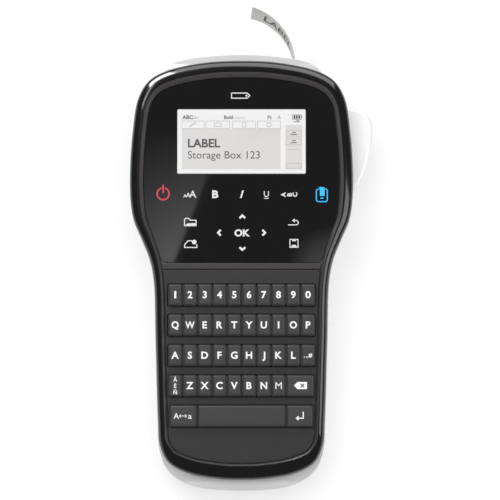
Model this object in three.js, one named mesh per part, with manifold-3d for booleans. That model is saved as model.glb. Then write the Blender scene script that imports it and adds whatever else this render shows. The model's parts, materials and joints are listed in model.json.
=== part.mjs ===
// Handheld label maker: a wedge-shaped case with a display, a field of 42 keys, a cutter lever,
// and a tape printing mechanism in the head. Millimetres.
// Case frame: +X right, +Y toward the label exit, +Z out of the front, z = 0 where front and
// rear case halves meet. The whole case frame is then tilted so that the back lies flat.
import * as THREE from "three";
import { mergeVertices, toCreasedNormals } from "three/addons/utils/BufferGeometryUtils.js";
import Module from "manifold-3d";

const wasm = await Module();
wasm.setup();

// ---------------------------------------------------------------- driving dimensions

const GAP = 0.4; // clearance between neighbouring pieces
const TILT = THREE.MathUtils.degToRad(7); // front face against the ground
const GROUND = 31.7; // height of the case frame's origin above the ground

// Right half of the front case outline, from the label end down to the bottom end.
const FRONT_OUTLINE = [
  [0, 98], [17.2, 97.1], [34.4, 93.4], [42.8, 88.6], [47.7, 80.3], [50.1, 65.6], [51.3, 47],
  [51, 33], [49.5, 24], [45.6, 14.7], [42, 5.5], [40.2, -4], [39.3, -31.3], [38.1, -68],
  [37.2, -79], [33.3, -86.7], [24.6, -91.5], [11, -94.1], [0, -94.6],
];
// The rear case shows past the front case at both ends, and is flush with it along the sides.
const REAR_OUTLINE = [
  [0, 101.2], [12, 100.7], [25, 99], [33, 96.4], [37.4, 93.4], [42.9, 88.8], [47.9, 80.3],
  [50.3, 65.6], [51.5, 47], [51.2, 33], [49.7, 24], [45.8, 14.7], [42.2, 5.5], [40.4, -4],
  [39.5, -31.3], [38.4, -68], [37.8, -79], [35, -88.2], [29.2, -94.2], [20, -97.9], [9, -99.2],
  [0, -99.5],
];
const FRONT_SAMPLES = 72;
const REAR_SAMPLES = 84;

const WALL = 2.2;
const END_WALL = 4.8; // extra wall thickness at both ends, which carries the front case there
const HANDLE_DEPTH = 20; // rear face of the handle below the joint plane
const REAR_CORNER = 11; // rounding between the sides and the back
const HEAD_START = 16; // the head reaches its full depth here
const NECK_START = -5; // the handle starts to thicken into the head here
const HEEL_START = -77; // the heel at the bottom end that touches the ground
const HEEL_FULL = -84;
const TOP_ROUND = { length: 12, depth: 24 };
const BOTTOM_ROUND = { length: 7, depth: 12 };

const RIM_TOP = 7.2; // crest of the front rim
const FRONT_PLATE = { bottom: 2.4, top: 4 }; // the shelf that carries the overlay and the keypad panel
const PANEL = { bottom: 4.3, top: 5.5 };
const OVERLAY_BOTTOM_Y = 4.4;
const KEYPAD_TOP_Y = 1.1;

const DISPLAY = { width: 59, height: 29.8, y: 60.2, top: 5.2, moduleWidth: 66, moduleHeight: 38 };

const KEY = {
  width: 5.9, height: 9.5, pitchX: 6.72, pitchY: 13.78, centreX: 0.1, firstRowY: -10.5,
  columns: 10, sideMargin: 1.1, top: 8, bevel: 0.7, corner: 0.9,
  footBottom: 3.1, footTop: 3.8, footOverhang: 0.9,
};
// Each row lists its keys from left to right; ":n" is a key that spans n columns.
const KEY_ROWS = [
  "1 2 3 4 5 6 7 8 9 0",
  "q w e r t y u i o p",
  "a s d f g h j k l comma",
  "accent z x c v b n m backspace:2",
  "caps:2 space:6 return:2",
];

const MEMBRANE = { width: 62, bottom: 0.5, top: 1.9, margin: 1.5 };
const BAR = { halfWidth: 35, top: 5.7 }; // cross bar between the overlay and the keypad panel
const BOARD = { bottom: -2.9, top: -1.3, inset: 5.6 };
const HEAD_FLOOR = { bottom: -9.5, top: -8 }; // floor of the cassette bay
const HANDLE_FLOOR = { bottom: -5.6, top: -4.2 }; // floor of the battery bay

const TAPE = { x: 24.8, thickness: 0.4, width: 12, middleZ: -19, startY: 43 };
const ROLLER = { radius: 4, y: 62, bottom: -27, top: -11, shaft: 1.2 };
ROLLER.x = TAPE.x + TAPE.thickness / 2 + 0.3 + ROLLER.radius;
const GEAR = { bottom: -7.3, top: -5, pitch: 9, teeth: 24, tooth: 0.8 };
GEAR.meshAngle = THREE.MathUtils.degToRad(-75); // direction from the roller to the motor
const PINION = { pitch: 4.5, teeth: 12, bore: 1.2 };
const MOTOR = { radius: 7, bottom: -27, top: -10, shaft: 0.8 };
MOTOR.x = ROLLER.x + (GEAR.pitch + PINION.pitch) * Math.cos(GEAR.meshAngle);
MOTOR.y = ROLLER.y + (GEAR.pitch + PINION.pitch) * Math.sin(GEAR.meshAngle);

const LEVER = { pivot: [46, 42], pin: 1.3, bottom: -21.6, top: -10.3, bevel: 0.9 };
const LEVER_SLOT = { from: 36.4, to: 80.2, play: 0.6 };
const BLADE = { y: 86, tipX: 30, backX: 38, bottom: -27, top: -11 };
const EXIT_SLOT = { halfWidth: 1.4, play: 1 };

const DOOR = { halfWidth: 33, from: 34, to: 86, recess: 0.6, thickness: 1.8, barrel: 1.5 };
const COVER = { halfWidth: 23, from: -72, to: -10, thickness: 1.8, barrel: 1.5 };
const CASSETTE = { left: -31, right: 17, from: 32, to: 78.5, bottom: -28, top: -10.4, spoolHole: 4 };
const CASSETTE_ARM = { x: 20, y: 36.8, width: 14, height: 9.6 };
const SPOOLS = [[-14, 58], [6, 44]];
const HEAD_BLOCK = { thickness: 2.4, from: 57, to: 67 };
const HEAD_BRACKET = { thickness: 2, from: 54, to: 70 };
const BATTERY = { halfWidth: 21, from: -67, to: -13, bottom: -17.4, top: -6 };
const ACROSS = [-60, 60]; // wider than the case
const BELOW = -60; // lower than the case
const SCREWS = [[27, -85], [-27, -85], [39, 22], [-39, 22]];
const SCREW = { well: 3.1, boss: 4.4, bore: 1.1, wellTop: -10, bossTop: -3.3 };
const INLET = { y: 28, z: -14, length: 9, height: 4 };

// ---------------------------------------------------------------- solids and booleans

function solidOf(geometry) {
  const bare = geometry.index ? geometry.toNonIndexed() : geometry.clone();
  bare.deleteAttribute("normal");
  bare.deleteAttribute("uv");
  const merged = mergeVertices(bare, 1e-4);
  const mesh = new wasm.Mesh({
    numProp: 3,
    vertProperties: merged.attributes.position.array,
    triVerts: new Uint32Array(merged.index.array),
  });
  return new wasm.Manifold(mesh);
}

function geometryOf(solid) {
  const mesh = solid.getMesh();
  const geometry = new THREE.BufferGeometry();
  geometry.setAttribute("position", new THREE.BufferAttribute(mesh.vertProperties, 3));
  geometry.setIndex(new THREE.BufferAttribute(mesh.triVerts, 1));
  return geometry;
}

const join = (...parts) => geometryOf(parts.map(solidOf).reduce((a, b) => a.add(b)));
const cut = (base, ...tools) =>
  geometryOf(tools.map(solidOf).reduce((a, b) => a.subtract(b), solidOf(base)));
const common = (a, b) => geometryOf(solidOf(a).intersect(solidOf(b)));

// ---------------------------------------------------------------- shape helpers

// A box given by its limits along each axis.
function box([x0, x1], [y0, y1], [z0, z1]) {
  const geometry = new THREE.BoxGeometry(x1 - x0, y1 - y0, z1 - z0);
  return geometry.translate((x0 + x1) / 2, (y0 + y1) / 2, (z0 + z1) / 2);
}

// An upright cylinder.
function post(x, y, [z0, z1], radius, sides = 20) {
  const geometry = new THREE.CylinderGeometry(radius, radius, z1 - z0, sides);
  return geometry.rotateX(Math.PI / 2).translate(x, y, (z0 + z1) / 2);
}

// A cylinder along X.
function rod([x0, x1], y, z, radius, sides = 16) {
  const geometry = new THREE.CylinderGeometry(radius, radius, x1 - x0, sides);
  return geometry.rotateZ(Math.PI / 2).translate((x0 + x1) / 2, y, z);
}

// A closed outline pushed up from z0 to z1.
function prism(points, [z0, z1]) {
  const shape = new THREE.Shape(points.map(([x, y]) => new THREE.Vector2(x, y)));
  return new THREE.ExtrudeGeometry(shape, { depth: z1 - z0, bevelEnabled: false }).translate(0, 0, z0);
}

// A rectangle with rounded corners, counter-clockwise.
function roundedRect(cx, cy, width, height, radius, steps = 3) {
  const points = [];
  for (let corner = 0; corner < 4; corner++) {
    const side = corner === 0 || corner === 3 ? 1 : -1;
    const end = corner < 2 ? 1 : -1;
    for (let step = 0; step <= steps; step++) {
      const angle = (corner + step / steps) * (Math.PI / 2);
      points.push([
        cx + side * (width / 2 - radius) + radius * Math.cos(angle),
        cy + end * (height / 2 - radius) + radius * Math.sin(angle),
      ]);
    }
  }
  return points;
}

// A smooth closed outline through the points of its right half and their mirror images.
// It runs counter-clockwise from the top centre.
function mirroredOutline(half, samples = FRONT_SAMPLES) {
  const left = half.map(([x, y]) => [-x, y]);
  const right = half.slice(1, -1).reverse();
  const points = [...left, ...right].map(([x, y]) => new THREE.Vector3(x, y, 0));
  const curve = new THREE.CatmullRomCurve3(points, true, "centripetal");
  return curve.getSpacedPoints(samples).slice(0, samples).map((p) => [p.x, p.y]);
}

// Moves each point of a counter-clockwise outline inward by inset(y).
function insetOutline(outline, inset) {
  const count = outline.length;
  return outline.map(([x, y], i) => {
    const [ax, ay] = outline[(i + count - 1) % count];
    const [bx, by] = outline[(i + 1) % count];
    const length = Math.hypot(bx - ax, by - ay);
    const amount = inset(y);
    return [x - (amount * (by - ay)) / length, y + (amount * (bx - ax)) / length];
  });
}

// Joins rings with the same number of points, counter-clockwise seen from the last ring.
// A closed loft joins the last ring to the first; an open one gets flat ends.
function loft(rings, closed = false) {
  const count = rings[0].length;
  const positions = rings.flat(2);
  const faces = [];
  const last = closed ? rings.length : rings.length - 1;
  for (let r = 0; r < last; r++) {
    const low = r * count;
    const high = ((r + 1) % rings.length) * count;
    for (let i = 0; i < count; i++) {
      const j = (i + 1) % count;
      faces.push(low + i, low + j, high + j, low + i, high + j, high + i);
    }
  }
  if (!closed) {
    const top = (rings.length - 1) * count;
    for (let i = 1; i < count - 1; i++) faces.push(0, i + 1, i, top, top + i, top + i + 1);
  }
  const geometry = new THREE.BufferGeometry();
  geometry.setAttribute("position", new THREE.Float32BufferAttribute(positions, 3));
  geometry.setIndex(faces);
  return geometry;
}

const mix = THREE.MathUtils.lerp;
const ease = (value, from, to) => THREE.MathUtils.smoothstep((value - from) / (to - from), 0, 1);

// A gear outline of trapezoid teeth with one tooth centred on the given angle.
function gearOutline({ pitch, teeth }, toothAngle) {
  const points = [];
  const step = (2 * Math.PI) / teeth;
  for (let tooth = 0; tooth < teeth; tooth++) {
    const middle = toothAngle + tooth * step;
    const corners = [[-0.27, pitch - GEAR.tooth], [-0.13, pitch + GEAR.tooth * 0.75],
      [0.13, pitch + GEAR.tooth * 0.75], [0.27, pitch - GEAR.tooth]];
    for (const [turn, radius] of corners) {
      const angle = middle + turn * step;
      points.push([radius * Math.cos(angle), radius * Math.sin(angle)]);
    }
  }
  return points;
}

// From the ground frame, where the back is level, into the case frame.
const toCase = (geometry) => geometry.translate(0, 0, -GROUND).rotateX(-TILT);

// ---------------------------------------------------------------- outlines of the front

// Width of the rim between the outer edge and the overlay or keypad panel.
const rimWidth = (y) =>
  4.4 + 1.9 * ease(y, -5, 35) + 1.8 * ease(y, 75, 96) + 2.9 * ease(-y, 75, 94);

const frontOutline = mirroredOutline(FRONT_OUTLINE);
const innerOutline = insetOutline(frontOutline, (y) => rimWidth(y) + 0.3);

// Where an outline crosses a level line on its right (side 1) or left (side -1).
function crossingX(outline, level, side) {
  for (let i = 0; i < outline.length; i++) {
    const [ax, ay] = outline[i];
    const [bx, by] = outline[(i + 1) % outline.length];
    if ((ay - level) * (by - level) <= 0 && side * ax > 0) return mix(ax, bx, (level - ay) / (by - ay));
  }
  throw new Error("the outline does not reach y = " + level);
}

// The part of an outline above (side 1) or below (side -1) a level edge, with rounded corners.
function outlineBeyond(outline, edge, side, corner) {
  const isKept = ([, y]) => side * (y - edge) > corner;
  const half = outline.length / 2;
  const fromEdge = side > 0 ? [...outline.slice(half), ...outline.slice(0, half)] : outline;
  const kept = fromEdge.filter(isKept);
  const cornerAfter = ([x, y]) => {
    const cornerX = crossingX(outline, edge, Math.sign(x));
    const endX = cornerX - Math.sign(x) * corner;
    return [0.3, 0.65, 1].map((t) => [
      mix(mix(x, cornerX, t), mix(cornerX, endX, t), t),
      mix(mix(y, edge, t), edge, t),
    ]);
  };
  return [...kept, ...cornerAfter(kept.at(-1)), ...cornerAfter(kept[0]).reverse()];
}

const overlayOutline = outlineBeyond(innerOutline, OVERLAY_BOTTOM_Y, 1, 3);
const panelOutline = outlineBeyond(innerOutline, KEYPAD_TOP_Y, -1, 1);

// ---------------------------------------------------------------- front case

function frontBezel() {
  const widest = 7;
  const section = [
    [0, GAP], [0, 2.6], [0.5, 4.6], [1.8, 6.3], [3.4, 7], [4.3, RIM_TOP], [4.9, 6.9], [widest, 5.8],
    [widest, FRONT_PLATE.bottom], [5.2, FRONT_PLATE.bottom], [4.6, 4.6], [3, 4.8], [2.2, 3.4], [2, GAP],
  ];
  const rings = section.map(([inset, z]) =>
    insetOutline(frontOutline, (y) => (inset * rimWidth(y)) / widest).map(([x, y]) => [x, y, z]),
  );
  const rim = loft(rings, true);
  const shelfOutline = insetOutline(frontOutline, (y) => rimWidth(y) * 0.85);
  const shelf = prism(shelfOutline, [FRONT_PLATE.bottom, FRONT_PLATE.top]);
  const bar = box([-BAR.halfWidth, BAR.halfWidth],
    [KEYPAD_TOP_Y + GAP, OVERLAY_BOTTOM_Y - GAP], [FRONT_PLATE.bottom, BAR.top]);
  const displayHole = prism(
    roundedRect(0, DISPLAY.y, DISPLAY.width + 1, DISPLAY.height + 1, 1), [0, 10]);
  const footSlots = rowSlots(KEY.height + 2 * KEY.footOverhang + 2 * GAP);
  return cut(join(rim, shelf, bar), displayHole, ...footSlots);
}

function displayOverlay() {
  const sheet = prism(overlayOutline, [PANEL.bottom, PANEL.top]);
  const hole = roundedRect(0, DISPLAY.y, DISPLAY.width + 0.8, DISPLAY.height + 0.8, 0.8);
  return cut(sheet, prism(hole, [0, 10]));
}

function displayModule() {
  const top = FRONT_PLATE.bottom - GAP;
  const { y, width, height, moduleWidth, moduleHeight } = DISPLAY;
  const frame = prism(roundedRect(0, y, moduleWidth, moduleHeight, 1), [-0.8, top]);
  const glass = prism(roundedRect(0, y, width, height, 0.6), [top - 1, DISPLAY.top]);
  return join(frame, glass);
}

// ---------------------------------------------------------------- keypad

const rowY = (row) => KEY.firstRowY - row * KEY.pitchY;
const columnX = (column) => KEY.centreX + (column - (KEY.columns - 1) / 2) * KEY.pitchX;

// The case narrows toward the bottom, so the outermost keys of the last rows are cut back.
function rowLimit(row) {
  const panelHalfWidth = crossingX(innerOutline, rowY(row), 1);
  return Math.min(panelHalfWidth - KEY.sideMargin, (KEY.columns * KEY.pitchX) / 2 - 0.2);
}

// One long slot per row of keys, as tools to cut with.
const rowSlots = (height) =>
  KEY_ROWS.map((_, row) => {
    const width = 2 * (rowLimit(row) + GAP);
    return prism(roundedRect(0, rowY(row), width, height, 1, 2), [0, 10]);
  });

function keypadPanel() {
  return cut(prism(panelOutline, [PANEL.bottom, PANEL.top]), ...rowSlots(KEY.height + 2 * GAP));
}

function keyMembrane() {
  const rows = KEY_ROWS.length;
  const height = (rows - 1) * KEY.pitchY + KEY.height + 2 * MEMBRANE.margin;
  const outline = roundedRect(KEY.centreX, rowY((rows - 1) / 2), MEMBRANE.width, height, 3);
  return prism(outline, [MEMBRANE.bottom, MEMBRANE.top]);
}

// A cap with bevelled edges on a foot that is wider than the slot it stands in.
function keyCap(x, y, width) {
  const ring = (w, h, z) => roundedRect(x, y, w, h, KEY.corner, 1).map(([px, py]) => [px, py, z]);
  const footHeight = KEY.height + 2 * KEY.footOverhang;
  return loft([
    ring(width, footHeight, KEY.footBottom),
    ring(width, footHeight, KEY.footTop),
    ring(width, KEY.height, KEY.footTop),
    ring(width, KEY.height, KEY.top - KEY.bevel),
    ring(width - 2 * KEY.bevel, KEY.height - 2 * KEY.bevel, KEY.top),
  ]);
}

function addKeys(add) {
  KEY_ROWS.forEach((names, row) => {
    let column = 0;
    for (const entry of names.split(" ")) {
      const [name, columns] = entry.split(":");
      const span = Number(columns ?? 1);
      const left = Math.max(columnX(column) - KEY.width / 2, -rowLimit(row));
      const right = Math.min(columnX(column + span - 1) + KEY.width / 2, rowLimit(row));
      add("key_" + name, keyCap((left + right) / 2, rowY(row), right - left), MATERIAL.key);
      column += span;
    }
  });
}

// ---------------------------------------------------------------- rear case

const groundZ = (y) => -(GROUND + y * Math.sin(TILT)) / Math.cos(TILT);

// Height of the back at a place along the case: handle, neck, head, heel and two rounded ends.
function backZ(y) {
  let z = mix(-HANDLE_DEPTH, groundZ(y), ease(y, NECK_START, HEAD_START));
  z = mix(z, groundZ(y), ease(y, HEEL_START, HEEL_FULL));
  const top = (y - (REAR_OUTLINE[0][1] - TOP_ROUND.length)) / TOP_ROUND.length;
  const bottom = (REAR_OUTLINE.at(-1)[1] + BOTTOM_ROUND.length - y) / BOTTOM_ROUND.length;
  if (top > 0) z += TOP_ROUND.depth * (1 - Math.sqrt(Math.max(0, 1 - top * top)));
  if (bottom > 0) z += BOTTOM_ROUND.depth * (1 - Math.sqrt(Math.max(0, 1 - bottom * bottom)));
  return z;
}

// One cross-section of the rear case: open side up, rounded corners below.
function rearSection(halfWidth, y, top, bottom) {
  const steps = 5;
  const rx = Math.min(REAR_CORNER, halfWidth * 0.6);
  const rz = Math.min(REAR_CORNER, (top - bottom) * 0.6);
  const points = [[halfWidth, y, top]];
  for (const side of [1, -1]) {
    for (let step = 0; step <= steps; step++) {
      const t = side > 0 ? step / steps : 1 - step / steps;
      const angle = (t * Math.PI) / 2;
      points.push([
        side * (halfWidth - rx + rx * Math.cos(angle)), y, bottom + rz - rz * Math.sin(angle)]);
    }
  }
  points.push([-halfWidth, y, top]);
  return points;
}

// The rear case as a solid lump up to a given height, shrunk by a wall thickness.
function rearLump(wall, top) {
  const outline = insetOutline(mirroredOutline(REAR_OUTLINE, REAR_SAMPLES), wall);
  const right = outline.filter(([x]) => x > 1).sort((a, b) => a[1] - b[1]);
  return loft(right.map(([x, y]) => rearSection(x, y, top, backZ(y) + wall(y))));
}

const wallAt = (y) => WALL + END_WALL * (ease(y, 90, 96) + ease(-y, 74, 86));

function rearHousing() {
  const outer = rearLump(() => 0, 0);
  const inner = rearLump(wallAt, 5);
  const inside = (tool) => common(outer, tool);
  const floors = [
    inside(box(ACROSS, [22, 96], [HEAD_FLOOR.bottom, HEAD_FLOOR.top])),
    inside(box(ACROSS, [-80, NECK_START], [HANDLE_FLOOR.bottom, HANDLE_FLOOR.top])),
  ];
  const bosses = SCREWS.map(([x, y]) => inside(post(x, y, [BELOW, SCREW.bossTop], SCREW.boss, 16)));
  const pinTop = HEAD_FLOOR.bottom + 0.5;
  const leverPin = post(...LEVER.pivot, [LEVER.bottom - 1, pinTop], LEVER.pin, 12);
  const body = cut(join(cut(outer, inner), ...floors, ...bosses), ...rearHousingCuts());
  return join(body, leverPin);
}

// Openings for the door, the cover, the lever, the label, the shafts, the power inlet and the screws.
function rearHousingCuts() {
  const around = (middle, half) => [middle - half, middle + half];
  const doorEdge = DOOR.halfWidth + GAP;
  const coverEdge = COVER.halfWidth + GAP;
  const throughHeadFloor = [HEAD_FLOOR.bottom - 2, HEAD_FLOOR.top + 2];
  return [
    toCase(box([-doorEdge, doorEdge], [DOOR.from - GAP, DOOR.to + DOOR.recess], [-5, 9])),
    box([-coverEdge, coverEdge], [COVER.from - DOOR.recess, COVER.to + GAP], [BELOW, BATTERY.top - 4.6]),
    box([40, 60], [LEVER_SLOT.from, LEVER_SLOT.to],
      [LEVER.bottom - LEVER_SLOT.play, LEVER.top + LEVER_SLOT.play]),
    box(around(TAPE.x, EXIT_SLOT.halfWidth), [88, 104],
      around(TAPE.middleZ, TAPE.width / 2 + EXIT_SLOT.play)),
    post(ROLLER.x, ROLLER.y, throughHeadFloor, ROLLER.shaft + GAP),
    post(MOTOR.x, MOTOR.y, throughHeadFloor, MOTOR.shaft + 1),
    box([-60, -44], around(INLET.y, INLET.length / 2), around(INLET.z, INLET.height / 2)),
    ...SCREWS.map(([x, y]) => post(x, y, [BELOW, SCREW.wellTop], SCREW.well, 16)),
    ...SCREWS.map(([x, y]) => post(x, y, [BELOW, 0], SCREW.bore, 8)),
  ];
}

// A flat cover with a round hinge barrel along one edge, lying on z = bottom.
function hingedPlate({ halfWidth, from, to, thickness, barrel }, bottom, barrelAtTop) {
  const barrelY = barrelAtTop ? to - barrel : from + barrel;
  const [start, end] = barrelAtTop ? [from, barrelY] : [barrelY, to];
  const outline = roundedRect(0, (start + end) / 2, 2 * halfWidth, end - start, 0.8, 2);
  const plate = prism(outline, [bottom, bottom + thickness]);
  return join(plate, rod([-halfWidth, halfWidth], barrelY, bottom + barrel, barrel));
}

function cassetteDoor() {
  return toCase(hingedPlate(DOOR, DOOR.recess, true));
}

function batteryCover() {
  return hingedPlate(COVER, -HANDLE_DEPTH, false);
}

// ---------------------------------------------------------------- inside

function mainBoard() {
  const outline = insetOutline(mirroredOutline(FRONT_OUTLINE, 40), () => BOARD.inset);
  return prism(outline, [BOARD.bottom, BOARD.top]);
}

function batteryPack() {
  const { halfWidth, from, to, bottom, top } = BATTERY;
  return prism(roundedRect(0, (from + to) / 2, 2 * halfWidth, to - from, 4), [bottom, top]);
}

// A flat cassette with two spool holes, and an arm that hands the tape to the print head.
function labelCassette() {
  const { left, right, from, to, bottom, top } = CASSETTE;
  const z = [bottom, top];
  const body = prism(roundedRect((left + right) / 2, (from + to) / 2, right - left, to - from, 5), z);
  const { x: armX, y: armY, width, height } = CASSETTE_ARM;
  const arm = prism(roundedRect(armX, armY, width, height, 1.5), z);
  const spoolHoles = SPOOLS.map(([x, y]) =>
    post(x, y, [bottom - 1, top + 1], CASSETTE.spoolHole, 12));
  return cut(join(body, arm), ...spoolHoles);
}

function printHead() {
  const face = TAPE.x - TAPE.thickness / 2 - 0.3;
  const back = face - HEAD_BLOCK.thickness;
  const block = box([back, face], [HEAD_BLOCK.from, HEAD_BLOCK.to],
    [ROLLER.bottom + 1, ROLLER.top - 1]);
  const bracket = box([back + GAP - HEAD_BRACKET.thickness, back + GAP],
    [HEAD_BRACKET.from, HEAD_BRACKET.to], [ROLLER.bottom, HEAD_FLOOR.bottom - GAP]);
  return join(block, bracket);
}

function platenRoller() {
  const { x, y, bottom, top, radius, shaft } = ROLLER;
  const gear = prism(gearOutline(GEAR, GEAR.meshAngle), [GEAR.bottom, GEAR.top]).translate(x, y, 0);
  const axle = post(x, y, [bottom - 1, GEAR.top + 0.6], shaft, 12);
  return join(post(x, y, [bottom, top], radius, 24), axle, gear);
}

function driveGear() {
  const halfStep = Math.PI / PINION.teeth;
  const outline = gearOutline(PINION, GEAR.meshAngle + Math.PI + halfStep);
  const gear = prism(outline, [GEAR.bottom, GEAR.top]).translate(MOTOR.x, MOTOR.y, 0);
  return cut(gear, post(MOTOR.x, MOTOR.y, [-12, 0], PINION.bore, 12));
}

function driveMotor() {
  const { x, y, radius, bottom, top, shaft } = MOTOR;
  return join(post(x, y, [bottom, top], radius, 24), post(x, y, [top - 1, GEAR.top - 0.2], shaft, 8));
}

// The cutter blade: a thin plate that ends in a point, clamped in a thicker holder.
function cutterBlade() {
  const { y, tipX, backX, bottom, top } = BLADE;
  const middle = (bottom + top) / 2;
  const holder = box([tipX + 3, backX], [y - 1.6, y + 1.6], [bottom, top]);
  const outline = [
    [tipX + 4, bottom + 1], [tipX + 4, top - 1], [tipX, middle + 5], [tipX + 1.4, middle - 6]];
  const plate = prism(outline, [-0.4, 0.4]).rotateX(Math.PI / 2).translate(0, y, 0);
  return join(holder, plate);
}

// ---------------------------------------------------------------- lever and label

// A rounded top that slopes away from the case, and a long bowed edge down to the pivot.
function cutterLever() {
  const shape = new THREE.Shape();
  const inner = 43.8;
  shape.moveTo(inner, 45);
  shape.lineTo(inner, 40);
  shape.lineTo(49.4, 38.2);
  shape.quadraticCurveTo(52.1, 38.1, 53.2, 39.8);
  shape.bezierCurveTo(58.3, 46.3, 61, 59, 61.2, 69.8);
  shape.bezierCurveTo(61.2, 74.5, 56.2, 77.2, 49, 78.8);
  shape.lineTo(inner - 0.6, 78.8);
  shape.closePath();
  const { bottom, top, bevel, pivot, pin } = LEVER;
  const body = new THREE.ExtrudeGeometry(shape, {
    depth: top - bottom - 2 * bevel, curveSegments: 8,
    bevelEnabled: true, bevelThickness: bevel, bevelSize: bevel, bevelOffset: -bevel, bevelSegments: 1,
  }).translate(0, 0, bottom + bevel);
  return cut(body, post(...pivot, [bottom - 2, top + 2], pin + GAP, 12));
}

// A ribbon that leaves the head on edge, curls over to the left and turns its face to the front.
function labelTape() {
  const { x, startY, middleZ, thickness, width } = TAPE;
  const curl = { start: 98.2, radius: 27.2, steps: 16 };
  curl.turn = THREE.MathUtils.degToRad(75);
  curl.twist = THREE.MathUtils.degToRad(17);
  const stations = [[x, startY, 0, 0]];
  for (let step = 0; step <= curl.steps; step++) {
    const t = step / curl.steps;
    const turn = curl.turn * t;
    const curlX = x - curl.radius * (1 - Math.cos(turn));
    const curlY = curl.start + curl.radius * Math.sin(turn);
    stations.push([curlX, curlY, turn, curl.twist * t]);
  }
  const rings = stations.map(([cx, cy, turn, twist]) => {
    const across = new THREE.Vector3(Math.cos(turn), Math.sin(turn), 0);
    const along = new THREE.Vector3(-Math.sin(turn), Math.cos(turn), 0);
    const edge = new THREE.Vector3(0, 0, 1).applyAxisAngle(along, twist);
    across.applyAxisAngle(along, twist);
    const centre = new THREE.Vector3(cx, cy, middleZ);
    const corner = (a, b) => centre.clone()
      .addScaledVector(across, (a * thickness) / 2)
      .addScaledVector(edge, (b * width) / 2)
      .toArray();
    return [corner(-1, -1), corner(-1, 1), corner(1, 1), corner(1, -1)];
  });
  return loft(rings);
}

// ---------------------------------------------------------------- assembly

const material = (color, roughness, metalness = 0) =>
  new THREE.MeshStandardMaterial({ color, roughness, metalness });

const MATERIAL = {
  blackGloss: material(0x18181a, 0.22),
  overlay: material(0x101012, 0.08),
  silver: material(0xc4c7ca, 0.38, 0.3),
  charcoal: material(0x35363a, 0.6),
  key: material(0x4c4d52, 0.45),
  rubber: material(0x2a2a2c, 0.85),
  board: material(0x1f6b3a, 0.5),
  display: material(0xe9edf0, 0.15),
  paper: material(0xf6f5f0, 0.5),
  steel: material(0xb9bdc1, 0.3, 1),
  nylon: material(0xe8e6dd, 0.5),
  cassette: material(0x9fa6ad, 0.3),
  battery: material(0x2c4a7a, 0.4),
};

const label_maker = new THREE.Group();
const caseFrame = new THREE.Group();
caseFrame.rotation.x = TILT;
caseFrame.position.z = GROUND;
label_maker.add(caseFrame);

function add(name, geometry, look) {
  const mesh = new THREE.Mesh(toCreasedNormals(geometry, 0.5), look);
  mesh.name = name;
  caseFrame.add(mesh);
}

add("front_bezel", frontBezel(), MATERIAL.blackGloss);
add("display_overlay", displayOverlay(), MATERIAL.overlay);
add("display_module", displayModule(), MATERIAL.display);
add("keypad_panel", keypadPanel(), MATERIAL.charcoal);
add("key_membrane", keyMembrane(), MATERIAL.rubber);
addKeys(add);
add("main_board", mainBoard(), MATERIAL.board);
add("rear_housing", rearHousing(), MATERIAL.silver);
add("cassette_door", cassetteDoor(), MATERIAL.silver);
add("battery_cover", batteryCover(), MATERIAL.silver);
add("battery_pack", batteryPack(), MATERIAL.battery);
add("label_cassette", labelCassette(), MATERIAL.cassette);
add("print_head", printHead(), MATERIAL.steel);
add("platen_roller", platenRoller(), MATERIAL.rubber);
add("drive_gear", driveGear(), MATERIAL.nylon);
add("drive_motor", driveMotor(), MATERIAL.steel);
add("cutter_blade", cutterBlade(), MATERIAL.steel);
add("cutter_lever", cutterLever(), MATERIAL.silver);
add("label_tape", labelTape(), MATERIAL.paper);

// The origin goes to the middle of the bounding box, on the ground.
label_maker.updateMatrixWorld(true);
const bounds = new THREE.Box3().setFromObject(label_maker, true);
const middle = bounds.getCenter(new THREE.Vector3());
caseFrame.position.x -= middle.x;
caseFrame.position.y -= middle.y;
caseFrame.position.z -= bounds.min.z;

export default label_maker;
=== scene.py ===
"""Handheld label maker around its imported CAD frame.

Sizes are in millimetres in the case frame: +X right, +Y toward the label exit, +Z out of the
front face. The case frame leans 7 degrees against the ground, and to_row() takes it there.
"""

import json
import math

import bpy
import bmesh
from mathutils import Matrix, Vector


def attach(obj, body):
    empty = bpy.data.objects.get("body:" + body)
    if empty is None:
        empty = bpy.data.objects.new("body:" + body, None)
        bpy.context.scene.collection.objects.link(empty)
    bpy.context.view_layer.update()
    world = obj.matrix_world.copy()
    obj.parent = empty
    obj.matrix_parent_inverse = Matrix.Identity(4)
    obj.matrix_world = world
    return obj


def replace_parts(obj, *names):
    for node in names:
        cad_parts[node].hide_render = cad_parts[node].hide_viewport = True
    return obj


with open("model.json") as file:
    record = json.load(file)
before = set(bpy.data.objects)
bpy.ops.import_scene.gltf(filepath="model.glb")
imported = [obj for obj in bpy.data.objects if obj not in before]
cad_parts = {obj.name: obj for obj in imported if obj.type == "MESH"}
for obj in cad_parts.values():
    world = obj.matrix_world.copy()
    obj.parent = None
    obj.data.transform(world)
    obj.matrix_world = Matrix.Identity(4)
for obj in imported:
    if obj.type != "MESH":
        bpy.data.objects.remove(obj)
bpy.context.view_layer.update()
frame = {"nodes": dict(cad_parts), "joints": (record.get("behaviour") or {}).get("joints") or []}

# ---- dimensions

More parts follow.
